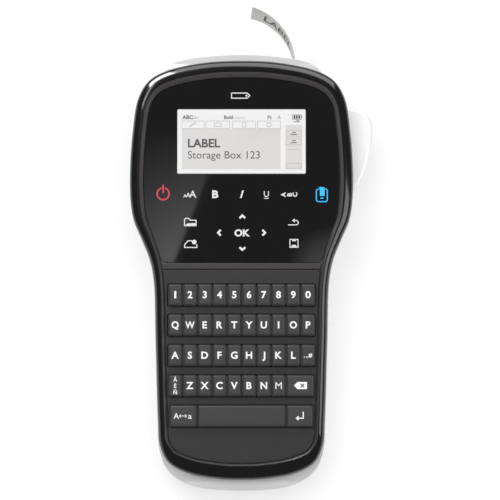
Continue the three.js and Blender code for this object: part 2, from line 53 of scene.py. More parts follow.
MM = 0.001
TILT = math.radians(7)
FRONT_OUTLINE = [
    (0, 98), (17.2, 97.1), (34.4, 93.4), (42.8, 88.6), (47.7, 80.3), (50.1, 65.6), (51.3, 47),
    (51, 33), (49.5, 24), (45.6, 14.7), (42, 5.5), (40.2, -4), (39.3, -31.3), (38.1, -68),
    (37.2, -79), (33.3, -86.7), (24.6, -91.5), (11, -94.1), (0, -94.6),
]
REAR_OUTLINE = [
    (0, 101.2), (12, 100.7), (25, 99.2), (31.5, 97.5), (35.2, 95.2), (38, 92.2), (42.9, 88.6),
    (47.9, 80.3), (50.3, 65.6), (51.5, 47), (51.2, 33), (49.7, 24), (45.8, 14.7), (42.2, 5.5),
    (40.4, -4), (39.5, -31.3), (38.4, -68), (37.8, -79), (35, -88.2), (29.2, -94.2), (20, -97.9),
    (9, -99.2), (0, -99.5),
]
FRONT_SAMPLES, REAR_SAMPLES, FLOOR_SAMPLES = 320, 220, 120
GROUND = 31.7  # height of the case frame's origin
HANDLE_DEPTH, REAR_CORNER = 20, 11
WALL, END_WALL = 2.2, 4.8  # the wall, and what it gains at both ends
TOP_ROUND, BOTTOM_ROUND = (12, 24), (7, 12)  # length along the case, depth
PANEL_BOTTOM, PANEL_TOP = 4.3, 5.5
SHELF_BOTTOM, SHELF_TOP = 2.5, 3.0
OVERLAY_EDGE_Y, KEYPAD_EDGE_Y = 4.4, 1.1
DISPLAY_Y, DISPLAY_W, DISPLAY_H, DISPLAY_TOP = 60.2, 59, 29.8, 5.2
KEY_W, KEY_H, KEY_FOOT = 5.9, 9.5, 3.8
PITCH_X, PITCH_Y, FIRST_ROW_Y, KEYS_X, KEY_COLUMNS = 6.72, 13.78, -10.5, 0.1, 10
TAPE_X, TAPE_Z, TAPE_W, TAPE_START_Y = 24.8, -19, 12, 43
TAPE_CURL = {"start": 98.2, "radius": 27.2, "turn": math.radians(75), "twist": math.radians(17)}
LEVER_PIVOT, LEVER_BOTTOM, LEVER_TOP = (46, 42, -16), -21.6, -10.3
HEAD_FLOOR, HANDLE_FLOOR = (-9.5, -8), (-5.6, -4.2)  # bottom, top
SCREWS = [(27, -85), (-27, -85), (39, 22), (-39, 22)]

LEVER_JOINT = next(j for j in frame["joints"] if j["name"] == "lever_press")
TURN = Matrix.Rotation(TILT, 3, "X")
ORIGIN = Vector(LEVER_JOINT["pos_m"]) - TURN @ (Vector(LEVER_PIVOT) * MM)


def to_row(point):
    """A case-frame point in millimetres, in the row frame in metres."""
    return ORIGIN + TURN @ (Vector(point) * MM)


def ground_to_row(point):
    """A point above the ground plane under the case, in millimetres, in the row frame."""
    return Vector((ORIGIN.x, ORIGIN.y, 0)) + Vector(point) * MM


# ---- outlines


def mix(a, b, t):
    return a + (b - a) * t


def ease(value, start, end):
    """Smooth step from 0 at start to 1 at end."""
    t = min(1.0, max(0.0, (value - start) / (end - start)))
    return t * t * (3 - 2 * t)


def spline_point(p, t):
    """A point on the centripetal Catmull-Rom curve between p[1] and p[2]."""
    knots = [0.0]
    for a, b in zip(p, p[1:]):
        knots.append(knots[-1] + (b - a).length ** 0.5)
    at = mix(knots[1], knots[2], t)

    def between(a, b, low, high):
        return a.lerp(b, (at - knots[low]) / (knots[high] - knots[low]))

    a1, a2, a3 = (between(p[k], p[k + 1], k, k + 1) for k in range(3))
    b1, b2 = between(a1, a2, 0, 2), between(a2, a3, 1, 3)
    return between(b1, b2, 1, 2)


def closed_spline(points, steps):
    points = [Vector(p) for p in points]
    count = len(points)
    return [
        spline_point([points[(i + k - 1) % count] for k in range(4)], step / steps)
        for i in range(count)
        for step in range(steps)
    ]


def resample(points, count):
    """Evenly spaced points round a closed curve, starting at its first point."""
    closed = points + [points[0]]
    lengths = [0.0]
    for a, b in zip(closed, closed[1:]):
        lengths.append(lengths[-1] + (b - a).length)
    out, span = [], 0
    for i in range(count):
        at = lengths[-1] * i / count
        while lengths[span + 1] < at:
            span += 1
        share = (at - lengths[span]) / (lengths[span + 1] - lengths[span])
        out.append(closed[span].lerp(closed[span + 1], share))
    return out


def mirrored_outline(half, count):
    """Counter-clockwise outline that starts at the middle of the label end."""
    left = [(-x, y) for x, y in half]
    return resample(closed_spline(left + half[-2:0:-1], 12), count)


def inset(outline, amount):
    """Each point moved inward by amount(y)."""
    out = []
    for i, p in enumerate(outline):
        along = (outline[(i + 1) % len(outline)] - outline[i - 1]).normalized()
        out.append(p + amount(p.y) * Vector((-along.y, along.x)))
    return out


def rim_width(y):
    return 4.4 + 1.9 * ease(y, -5, 35) + 1.8 * ease(y, 75, 96) + 2.9 * ease(-y, 75, 94)


def crossing_x(outline, level, side):
    """Where an outline crosses a level line, on its right (side 1) or left (side -1)."""
    for a, b in zip(outline, outline[1:] + outline[:1]):
        if (a.y - level) * (b.y - level) <= 0 and side * a.x > 0:
            return mix(a.x, b.x, (level - a.y) / (b.y - a.y))
    raise ValueError("the outline does not reach that level")


def outline_beyond(outline, edge, side, corner):
    """The part of an outline above (side 1) or below (side -1) an edge, with round corners."""
    half = len(outline) // 2
    ordered = outline[half:] + outline[:half] if side > 0 else outline
    kept = [p for p in ordered if side * (p.y - edge) > corner]

    def corner_after(p):
        sign = math.copysign(1, p.x)
        tip = Vector((crossing_x(outline, edge, sign), edge))
        end = tip - Vector((sign * corner, 0))
        steps = [k / 8 for k in range(1, 9)]
        return [p.lerp(tip, t).lerp(tip.lerp(end, t), t) for t in steps]

    return kept + corner_after(kept[-1]) + corner_after(kept[0])[::-1]


def polar(cx, cy, radius, angle):
    return Vector((cx + radius * math.cos(angle), cy + radius * math.sin(angle)))


def rounded_rect(cx, cy, width, height, radius, steps=6):
    """Counter-clockwise rectangle with round corners."""
    points = []
    for quarter in range(4):
        x = cx + (1 if quarter in (0, 3) else -1) * (width / 2 - radius)
        y = cy + (1 if quarter < 2 else -1) * (height / 2 - radius)
        for step in range(steps + 1):
            points.append(polar(x, y, radius, (quarter + step / steps) * math.pi / 2))
    return points


def circle(cx, cy, radius, steps=32):
    return [polar(cx, cy, radius, 2 * math.pi * k / steps) for k in range(steps)]


def arc(cx, cy, radius, start, end, steps=18):
    """Points on an arc between two angles in degrees."""
    return [polar(cx, cy, radius, math.radians(mix(start, end, k / steps)))
            for k in range(steps + 1)]


def bezier(points, steps):
    """A Bezier curve of any degree, without its first point."""
    out = []
    for k in range(1, steps + 1):
        level = [Vector(p) for p in points]
        while len(level) > 1:
            level = [a.lerp(b, k / steps) for a, b in zip(level, level[1:])]
        out.append(level[0])
    return out


front_outline = mirrored_outline(FRONT_OUTLINE, FRONT_SAMPLES)
inner_outline = inset(front_outline, lambda y: rim_width(y) + 0.3)

# ---- making pieces


def add_object(name, data):
    obj = bpy.data.objects.new(name, data)
    bpy.context.scene.collection.objects.link(obj)
    return obj


def link(name, mesh, look, body, sharp=35):
    """A shaded mesh object that rides on a body, or on a parent piece."""
    mesh.name = name
    mesh.shade_smooth()
    mesh.set_sharp_from_angle(angle=math.radians(sharp))
    mesh.materials.clear()
    mesh.materials.append(look)
    obj = add_object(name, mesh)
    if isinstance(body, str):
        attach(obj, body)
    else:
        obj.parent = body
    return obj


def mesh_piece(name, vertices, faces, look, body, sharp=35, place=to_row):
    mesh = bpy.data.meshes.new(name)
    mesh.from_pydata([place(v) for v in vertices], [], faces)
    return link(name, mesh, look, body, sharp)


def built_mesh(name, made):
    """Turns a bmesh into a mesh and frees it."""
    mesh = bpy.data.meshes.new(name)
    made.to_mesh(mesh)
    made.free()
    return mesh


def loft(rings, closed=False):
    """Vertices and faces through rings of equal length, capped unless closed."""
    count = len(rings[0])
    vertices = [tuple(p) for ring in rings for p in ring]
    faces = []
    for r in range(len(rings) if closed else len(rings) - 1):
        low, high = r * count, ((r + 1) % len(rings)) * count
        for i in range(count):
            j = (i + 1) % count
            faces.append((low + i, low + j, high + j, high + i))
    if not closed:
        top = (len(rings) - 1) * count
        faces.append(tuple(range(count))[::-1])
        faces.append(tuple(range(top, top + count)))
    return vertices, faces


def evaluated(obj):
    """The object's mesh with its modifiers applied, as a new mesh."""
    bpy.context.view_layer.update()
    graph = bpy.context.evaluated_depsgraph_get()
    return bpy.data.meshes.new_from_object(obj.evaluated_get(graph))


def curve_mesh(curve):
    """Turns a curve or text datablock into a mesh and removes it."""
    holder = add_object("holder", curve)
    mesh = evaluated(holder)
    bpy.data.objects.remove(holder)
    bpy.data.curves.remove(curve)
    return mesh


def add_line(curve, points, closed):
    line = curve.splines.new("POLY")
    line.points.add(len(points) - 1)
    for target, p in zip(line.points, points):
        target.co = (*p, 1)
    line.use_cyclic_u = closed


def flat_plate(name, outer, bottom, top, bevel, look, body="case", holes=(), place=to_row):
    """A flat plate with holes and rounded edges."""
    curve = bpy.data.curves.new(name, "CURVE")
    curve.dimensions = "2D"
    curve.fill_mode = "BOTH"
    for loop in [outer, *holes]:
        add_line(curve, [(p[0], p[1], 0) for p in loop], True)
    curve.extrude = (top - bottom) / 2 - bevel
    curve.bevel_depth = bevel
    curve.bevel_resolution = 2
    curve.offset = -bevel
    mesh = curve_mesh(curve)
    middle = (top + bottom) / 2
    for v in mesh.vertices:
        v.co = place((v.co.x, v.co.y, v.co.z + middle))
    return link(name, mesh, look, body)


def slab(name, rectangle, bottom, top, bevel, look, body="case", holes=(), place=to_row):
    """A flat plate from a rectangle: centre x and y, width, height and corner radius."""
    outline = rounded_rect(*rectangle)
    return flat_plate(name, outline, bottom, top, bevel, look, body, holes, place)


def tube(name, points, radius, look, body, place, sides):
    """A round wire through points."""
    curve = bpy.data.curves.new(name, "CURVE")
    curve.dimensions = "3D"
    curve.bevel_depth = radius * MM
    curve.bevel_resolution = sides // 4
    curve.use_fill_caps = True
    add_line(curve, [place(p) for p in points], False)
    return link(name, curve_mesh(curve), look, body)


def turned(name, profile, centre, look, sides=40):
    """A body of revolution about the case's Z axis, from (radius, z) points."""
    rings = [[(*p, z) for p in circle(*centre, radius, sides)] for radius, z in profile]
    return mesh_piece(name, *loft(rings), look, "case")


# ---- materials


def opaque(colour):
    """A colour or grey level with full alpha; a node's output stays as it is."""
    if isinstance(colour, bpy.types.NodeSocket):
        return colour
    if isinstance(colour, (int, float)):
        return (colour, colour, colour, 1)
    return (*colour, 1)


class Nodes:
    """A node material that is being put together."""

    def __init__(self, name):
        self.material = bpy.data.materials.new(name)
        self.material.use_nodes = True
        self.tree = self.material.node_tree

    def feed(self, socket, value):
        """Links a node's output to a socket, or sets a constant on it."""
        if isinstance(value, bpy.types.NodeSocket):
            self.tree.links.new(value, socket)
        else:
            socket.default_value = value

    def node(self, kind, inputs=None, **settings):
        made = self.tree.nodes.new("ShaderNode" + kind)
        for key, value in settings.items():
            setattr(made, key, value)
        for key, value in (inputs or {}).items():
            self.feed(made.inputs[key], value)
        return made


class Look(Nodes):
    """A surface whose pattern coordinates are millimetres in the case frame."""

    def __init__(self, name, slot=None, **shader):
        super().__init__(name)
        if slot:
            self.material["slot"] = slot
        self.shader = self.tree.nodes["Principled BSDF"]
        for socket, value in shader.items():
            self.shader.inputs[socket.replace("_", " ")].default_value = value
        coordinates = self.node("TexCoord").outputs["Object"]
        mapping = {"Vector": coordinates, "Scale": (1 / MM,) * 3}
        self.position = self.node("Mapping", mapping).outputs[0]

    def noise(self, size, detail=3.0, stretch=(1, 1, 1), roughness=0.5):
        """Noise from 0 to 1 whose features are about size millimetres across."""
        place = self.node("Mapping", {"Vector": self.position, "Scale": stretch}).outputs[0]
        inputs = {"Vector": place, "Scale": 1 / size, "Detail": detail, "Roughness": roughness}
        return self.node("TexNoise", inputs).outputs["Fac"]

    def voronoi(self, size, output="Distance"):
        inputs = {"Vector": self.position, "Scale": 1 / size}
        return self.node("TexVoronoi", inputs).outputs[output]

    def bricks(self, scale, gap, softness, inputs=None, **settings):
        """1 in the gaps between bricks and 0 on them."""
        inputs = {
            "Vector": self.position, "Scale": scale, "Mortar Size": gap,
            "Mortar Smooth": softness, "Color1": opaque(0), "Color2": opaque(0),
            "Mortar": opaque(1), **(inputs or {}),
        }
        return self.node("TexBrick", inputs, **settings).outputs["Fac"]

    def ramp(self, value, stops):
        """Maps a value through (position, colour or grey level) stops."""
        ramp = self.node("ValToRGB", {"Fac": value})
        elements = ramp.color_ramp.elements
        for element, (at, colour) in zip(elements, stops):
            element.position = at
            element.color = opaque(colour)
        return ramp.outputs["Color"]

    def blend(self, share, a, b):
        """Colour a where share is 0 and b where it is 1."""
        inputs = {0: share, 6: opaque(a), 7: opaque(b)}
        return self.node("Mix", inputs, data_type="RGBA").outputs[2]

    def range(self, value, low, high):
        return self.node("MapRange", {"Value": value, "To Min": low, "To Max": high}).outputs[0]

    def bump(self, height, strength, depth):
        """Adds relief whose depth is in millimetres."""
        inputs = {"Height": height, "Strength": strength, "Distance": depth * MM}
        before = self.shader.inputs["Normal"].links
        if before:
            inputs["Normal"] = before[0].from_socket
        self.feed(self.shader.inputs["Normal"], self.node("Bump", inputs).outputs[0])

    def finished(self, colour, gloss, *reliefs):
        """Joins colour, roughness (value, low, high) and reliefs (height, strength, depth)."""
        self.feed(self.shader.inputs["Base Color"], colour)
        self.feed(self.shader.inputs["Roughness"], self.range(*gloss))
        for relief in reliefs:
            self.bump(*relief)
        return self.material


def moulded(name, slot, dark, light, rough, grain, relief):
    """Moulded plastic: slow colour drift, fine grain in relief and uneven gloss."""
    look = Look(name, slot)
    fine = look.noise(grain, 5, roughness=0.65)
    speckle = look.blend(look.ramp(fine, [(0.35, 0), (0.7, 1)]), dark, light)
    colour = look.blend(look.range(look.noise(14, 4), 0.15, 0.55), speckle, light)
    return look.finished(colour, (look.noise(grain * 6, 4), *rough), (fine, relief, 0.03))


def gloss_black(name, slot, light, smear):
    """Polished black plastic with faint smears and dust specks in its gloss."""
    look = Look(name, slot, Specular_IOR_Level=0.55, Coat_Weight=0.5, Coat_Roughness=0.04)
    dust = look.ramp(look.voronoi(2.3), [(0.0, 1), (0.035, 0)])
    colour = look.blend(dust, (0.003, 0.003, 0.0035), light)
    clouds = look.noise(22, 5, roughness=0.6)
    return look.finished(colour, (clouds, *smear), (look.noise(30, 2), 0.04, 0.05))


def silver_paint(name, slot, shade):
    """Silver paint on plastic: metal flakes, orange peel and a clear coat."""
    look = Look(name, slot, Metallic=0.25, Coat_Weight=0.4, Coat_Roughness=0.15)
    flakes = look.voronoi(0.16, output="Color")
    grey = look.node("RGBToBW", {"Color": flakes}).outputs[0]
    dark = tuple(shade * k for k in (0.97, 0.98, 1.0))
    flake = look.ramp(grey, [(0.2, dark), (0.8, shade * 1.13)])
    drift = look.range(look.noise(25, 4), 0.0, 0.5)
    return look.finished(
        look.blend(drift, flake, shade * 1.06), (look.noise(3, 4), 0.28, 0.4),
        (look.noise(0.9, 3), 0.05, 0.03), (grey, 0.04, 0.01))


def rubber(name, slot, dark, light):
    """Matt rubber with open pores."""
    look = Look(name, slot, Sheen_Weight=0.2, Sheen_Roughness=0.5)
    pores = look.noise(0.35, 6, roughness=0.7)
    colour = look.blend(look.noise(5, 4), dark, light)
    return look.finished(colour, (pores, 0.65, 0.92), (pores, 0.3, 0.05))


def brushed_steel(name, slot, along=(1, 1, 0.05)):
    """Steel with brush lines along the axis of the smallest number."""
    look = Look(name, slot, Metallic=1.0)
    lines = look.noise(0.25, 5, stretch=along, roughness=0.6)
    colour = look.blend(lines, (0.38, 0.39, 0.41), (0.62, 0.63, 0.64))
    return look.finished(colour, (lines, 0.2, 0.42), (lines, 0.15, 0.02))


def circuit_board(name, slot):
    """Solder mask over copper tracks, with a light weave showing through."""
    look = Look(name, slot, Coat_Weight=0.3, Coat_Roughness=0.2)
    tracks = look.bricks(0.16, 0.04, 0.2)
    weave = look.noise(0.5, 2)
    green = look.blend(weave, (0.01, 0.085, 0.04), (0.015, 0.12, 0.055))
    colour = look.blend(tracks, green, (0.035, 0.22, 0.09))
    return look.finished(colour, (weave, 0.3, 0.5), (tracks, 0.3, 0.05))


def lcd_panel(name, slot):
    """Reflective display glass: pale grey with the fine pitch of its dots."""
    look = Look(name, slot, Coat_Weight=0.4, Coat_Roughness=0.08, Specular_IOR_Level=0.4)
    dots = look.bricks(1.0, 0.035, 0.3, {"Brick Width": 0.45, "Row Height": 0.45}, offset=0.0)
    clouds = look.noise(18, 3)
    pale = look.blend(clouds, (0.66, 0.645, 0.635), (0.74, 0.725, 0.715))
    colour = look.blend(look.range(dots, 0.0, 0.25), pale, (0.55, 0.54, 0.53))
    return look.finished(colour, (clouds, 0.18, 0.3))


def ink(name, slot, dark, light, painted_glow=0.0):
    """Printed ink with tiny pinholes and uneven cover. An optional emission in its light colour is a
    painted glow that brightens the print beyond what its lamps give.
    """
    look = Look(name, slot, Emission_Strength=painted_glow, Emission_Color=opaque(light))
    pinholes = look.noise(0.12, 3, roughness=0.7)
    colour = look.blend(look.ramp(pinholes, [(0.3, 0), (0.5, 1)]), dark, light)
    return look.finished(colour, (pinholes, 0.35, 0.55))


def paper_label(name, slot):
    """Coated label paper with short fibres."""
    look = Look(name, slot, Coat_Weight=0.15, Coat_Roughness=0.3)
    fibres = look.noise(0.5, 5, stretch=(1, 0.3, 1), roughness=0.7)
    colour = look.blend(fibres, (0.56, 0.55, 0.52), (0.68, 0.67, 0.64))
    return look.finished(colour, (fibres, 0.4, 0.6), (fibres, 0.1, 0.02))


def floor_paper():
    """White studio paper that is lit a little from within, and clear when seen from below."""
    look = Look("studio_floor", Emission_Color=opaque(1), Emission_Strength=0.44)
    grain = look.noise(3, 4)
    colour = look.blend(grain, (0.56, 0.56, 0.565), (0.6, 0.6, 0.605))
    look.finished(colour, (grain, 0.75, 0.9))
    clear = look.node("BsdfTransparent").outputs[0]
    below = look.node("NewGeometry").outputs["Backfacing"]
    either = look.node("MixShader", {0: below, 1: look.shader.outputs[0], 2: clear})
    look.feed(look.tree.nodes["Material Output"].inputs["Surface"], either.outputs[0])
    return look.material


RIM_BLACK = gloss_black("rim_black", "bezel_gloss", (0.03, 0.03, 0.032), (0.1, 0.2))
OVERLAY_BLACK = gloss_black("overlay_black", "overlay_gloss", (0.02, 0.02, 0.022), (0.015, 0.05))
BAND_GREY = moulded("band_grey", "bezel_gloss", (0.03, 0.027, 0.028), (0.05, 0.045, 0.046),
                    (0.3, 0.45), 0.3, 0.08)
KEYPAD_FIELD = moulded("keypad_field", "keypad_matte", (0.015, 0.014, 0.015), (0.028, 0.027, 0.028),
                       (0.42, 0.6), 0.3, 0.2)
KEY_PLASTIC = moulded("key_plastic", "key_plastic", (0.031, 0.031, 0.033), (0.053, 0.052, 0.054),
                      (0.28, 0.42), 0.25, 0.1)
SILVER = silver_paint("shell_silver", "shell_silver", 0.66)
LEVER_SILVER = silver_paint("lever_silver", "lever_silver", 0.97)
MEMBRANE_RUBBER = rubber("membrane_rubber", "membrane_rubber", (0.03, 0.03, 0.032),
                         (0.05, 0.05, 0.053))
ROLLER_RUBBER = rubber("roller_rubber", "roller_rubber", (0.02, 0.02, 0.022),
                       (0.04, 0.04, 0.042))
BOARD_GREEN = circuit_board("board_green", "board")
CHIP_EPOXY = moulded("chip_epoxy", "board", (0.015, 0.015, 0.016), (0.03, 0.03, 0.032),
                     (0.5, 0.7), 0.2, 0.2)
LCD = lcd_panel("lcd_glass", "display")
LCD_BORDER = moulded("lcd_border", "display", 0.78, 0.86, (0.2, 0.3), 0.4, 0.04)
LCD_DARK = ink("lcd_dark", "display", (0.05, 0.05, 0.055), (0.075, 0.075, 0.08))
LCD_FAINT = ink("lcd_faint", "display", (0.4, 0.39, 0.385), (0.48, 0.47, 0.465))
# The last number of these inks is painted glow: emission that makes the white, red and blue print
# look more brightly lit.
WHITE_INK = ink("white_ink", "key_plastic", 0.7, 0.86, 0.12)
ICON_WHITE = ink("icon_white", "overlay_gloss", 0.6, 0.75, 0.06)
ICON_RED = ink("icon_red", "overlay_gloss", (0.42, 0.02, 0.045), (0.56, 0.035, 0.07), 0.15)
ICON_BLUE = ink("icon_blue", "overlay_gloss", (0.0, 0.3, 0.62), (0.01, 0.42, 0.8), 0.3)
LABEL_PAPER = paper_label("label_paper", "label_paper")
LABEL_INK = ink("label_ink", "label_paper", 0.02, 0.04)
STEEL = brushed_steel("brushed_steel", "head_steel")
MOTOR_STEEL = brushed_steel("motor_steel", "motor_steel")
BLADE_STEEL = brushed_steel("blade_steel", "blade_steel", (0.05, 1, 1))
NYLON = moulded("gear_nylon", "gear_nylon", (0.66, 0.64, 0.58), (0.76, 0.74, 0.68),
                (0.35, 0.5), 0.5, 0.08)
CASSETTE_GREY = moulded("cassette_grey", "cassette_plastic", (0.2, 0.21, 0.225),
                        (0.29, 0.3, 0.315), (0.25, 0.4), 0.4, 0.08)
BATTERY_WRAP = moulded("battery_wrap", "battery_wrap", (0.02, 0.05, 0.13), (0.035, 0.08, 0.19),
                       (0.25, 0.4), 0.8, 0.1)
INNER_GREY = moulded("inner_grey", "shell_silver", (0.12, 0.12, 0.125), (0.17, 0.17, 0.175),
                     (0.45, 0.6), 0.3, 0.12)

# ---- front case

RIM_WIDEST = 7
CREST = 4.9  # where the rim ends and the band inside it starts
HEEL_CREST_SHIFT = 1.35  # how much further in that is at the heel
RIM_SECTION = [
    (0, 0.4), (0, 2.6), (0.06, 3.5), (0.2, 4.2), (0.5, 4.8), (0.9, 5.25), (1.5, 5.75), (2.2, 6.2),
    (2.9, 6.55), (3.5, 6.78), (4.1, 6.98), (4.45, 7.07), (4.68, 7.1), (4.82, 7.02), (4.9, 6.8),
]
RIM_INSIDE = [(4.9, 4.8), (2.2, 4.4), (2, 0.4)]
BAND_SECTION = [(4.9, 6.6), (5.0, 6.68), (5.2, 6.66), (6.0, 6.3), (6.75, 5.95), (7, 5.75)]
BAND_INSIDE = [(7, 2.4), (4.9, 2.4)]


def rim_ring(name, section, look):
    """A closed ring round the front case from (inset, z) points, scaled with the rim."""
    def depth(share, y):
        crest = CREST + HEEL_CREST_SHIFT * ease(-y, 74, 88)
        if share <= CREST:
            return share * crest / CREST
        return crest + (share - CREST) * (RIM_WIDEST - crest) / (RIM_WIDEST - CREST)

    rings = [
        [(p.x, p.y, z)
         for p in inset(front_outline, lambda y: depth(share, y) * rim_width(y) / RIM_WIDEST)]
        for share, z in section
    ]
    return mesh_piece(name, *loft(rings, closed=True), look, "case", 50)


def front_case():
    rim = rim_ring("rim", RIM_SECTION + RIM_INSIDE, RIM_BLACK)
    rim_ring("rim_inner_band", BAND_SECTION + BAND_INSIDE, BAND_GREY)
    outline = inset(front_outline, lambda y: rim_width(y) * 0.9)
    window = rounded_rect(0, DISPLAY_Y, DISPLAY_W + 1, DISPLAY_H + 1, 1)
    slots = [key_slot(row, KEY_H + 2.6) for row in range(len(KEY_ROWS))]
    flat_plate("front_shelf", outline, SHELF_BOTTOM, SHELF_TOP, 0.1, INNER_GREY,
               holes=[window] + slots)
    width = 2 * (crossing_x(inner_outline, OVERLAY_EDGE_Y, 1) - 0.4)
    height = OVERLAY_EDGE_Y - KEYPAD_EDGE_Y - 0.5
    middle = (OVERLAY_EDGE_Y + KEYPAD_EDGE_Y) / 2
    slab("cross_bar", (0, middle, width, height, 0.5), SHELF_TOP, 5.7, 0.35, BAND_GREY)
    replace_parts(rim, "front_bezel")


def overlay_sheet():
    outline = outline_beyond(inner_outline, OVERLAY_EDGE_Y, 1, 3)
    window = rounded_rect(0, DISPLAY_Y, DISPLAY_W + 0.5, DISPLAY_H + 0.5, 0.6)
    overlay = flat_plate("overlay_sheet", outline, PANEL_BOTTOM, PANEL_TOP, 0.06, OVERLAY_BLACK,
                         holes=[window])
    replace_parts(overlay, "display_overlay")
    return overlay


# ---- lettering and icons

INK_LIFT = 0.02  # how far print stands out of its face


def text_mesh(text, size, bold=0.0, shear=0.0):
    """A centred, slightly raised text mesh."""
    curve = bpy.data.curves.new("text", "FONT")
    curve.body = text
    curve.size = size
    curve.align_x = "CENTER"
    curve.offset = bold
    curve.extrude = INK_LIFT
    curve.resolution_u = 4
    curve.shear = shear
    return curve_mesh(curve)


CAP_HEIGHT = max(v.co.y for v in text_mesh("H", 1).vertices)


def lettering(name, text, x, y, top, height, look, parent, bold=0.0, width=1.0, left=False,
              shear=0.0, quarter_turns=0):
    """Printed letters centred on (x, y), or starting at x, that stand just proud of a face."""
    mesh = text_mesh(text, height / CAP_HEIGHT, bold, shear)
    low = min(v.co.x for v in mesh.vertices)
    high = max(v.co.x for v in mesh.vertices)
    middle = low if left else (low + high) / 2
    for v in mesh.vertices:
        dx, dy = (v.co.x - middle) * width, v.co.y - height / 2
        for _ in range(quarter_turns):
            dx, dy = -dy, dx
        v.co = to_row((x + dx, y + dy, top + v.co.z))
    return link(name, mesh, look, parent)


def strokes(name, lines, width, top, look, parent, fills=()):
    """An icon from drawn lines of one width, and from filled outlines, on one flat level."""
    made = bmesh.new()
    for outline in [line_outline([Vector(p) for p in line], width) for line in lines] + [*fills]:
        made.faces.new([made.verts.new((p[0], p[1], INK_LIFT)) for p in outline])
    bmesh.ops.triangulate(made, faces=made.faces[:])
    bmesh.ops.recalc_face_normals(made, faces=made.faces[:])
    for face in made.faces:
        if face.normal.z < 0:
            face.normal_flip()
    extruded = bmesh.ops.extrude_face_region(made, geom=made.faces[:])
    for item in extruded["geom"]:
        if isinstance(item, bmesh.types.BMVert):
            item.co.z -= 2 * INK_LIFT
    bmesh.ops.recalc_face_normals(made, faces=made.faces[:])
    mesh = built_mesh(name, made)
    for v in mesh.vertices:
        v.co = to_row((v.co.x, v.co.y, v.co.z + top))
    return link(name, mesh, look, parent)


def line_outline(points, width):
    """The outline of a line of constant width with mitred corners."""
    left, right = [], []
    closed = (points[0] - points[-1]).length < 1e-6
    for i, p in enumerate(points):
        before = points[i - 1] if i else (points[-2] if closed else p)
        after = points[i + 1] if i + 1 < len(points) else (points[1] if closed else p)
        into = (p - before).normalized() if p != before else (after - p).normalized()
        out = (after - p).normalized() if after != p else into
        normal = Vector((-into.y, into.x)) + Vector((-out.y, out.x))
        normal = normal.normalized() * (width / 2)
        spread = max(0.5, normal.normalized().dot(Vector((-into.y, into.x))))
        left.append(p + normal / spread)
        right.append(p - normal / spread)
    return left + right[::-1]


def frame_lines(cx, cy, width, height):
    """The four sides of a rectangle as one line with a hair's opening."""
    w, h = width / 2, height / 2
    return [(cx - w, cy + h), (cx - w, cy - h), (cx + w, cy - h), (cx + w, cy + h),
            (cx - w + 0.001, cy + h)]


def chevron(x, y, dx, dy, reach, spread):
    """An open arrow head round (x, y) that points along (dx, dy)."""
    ends = [(x - dx * reach + dy * spread * side, y - dy * reach + dx * spread * side)
            for side in (-1, 1)]
    return [ends[0], (x + dx * reach, y + dy * reach), ends[1]]


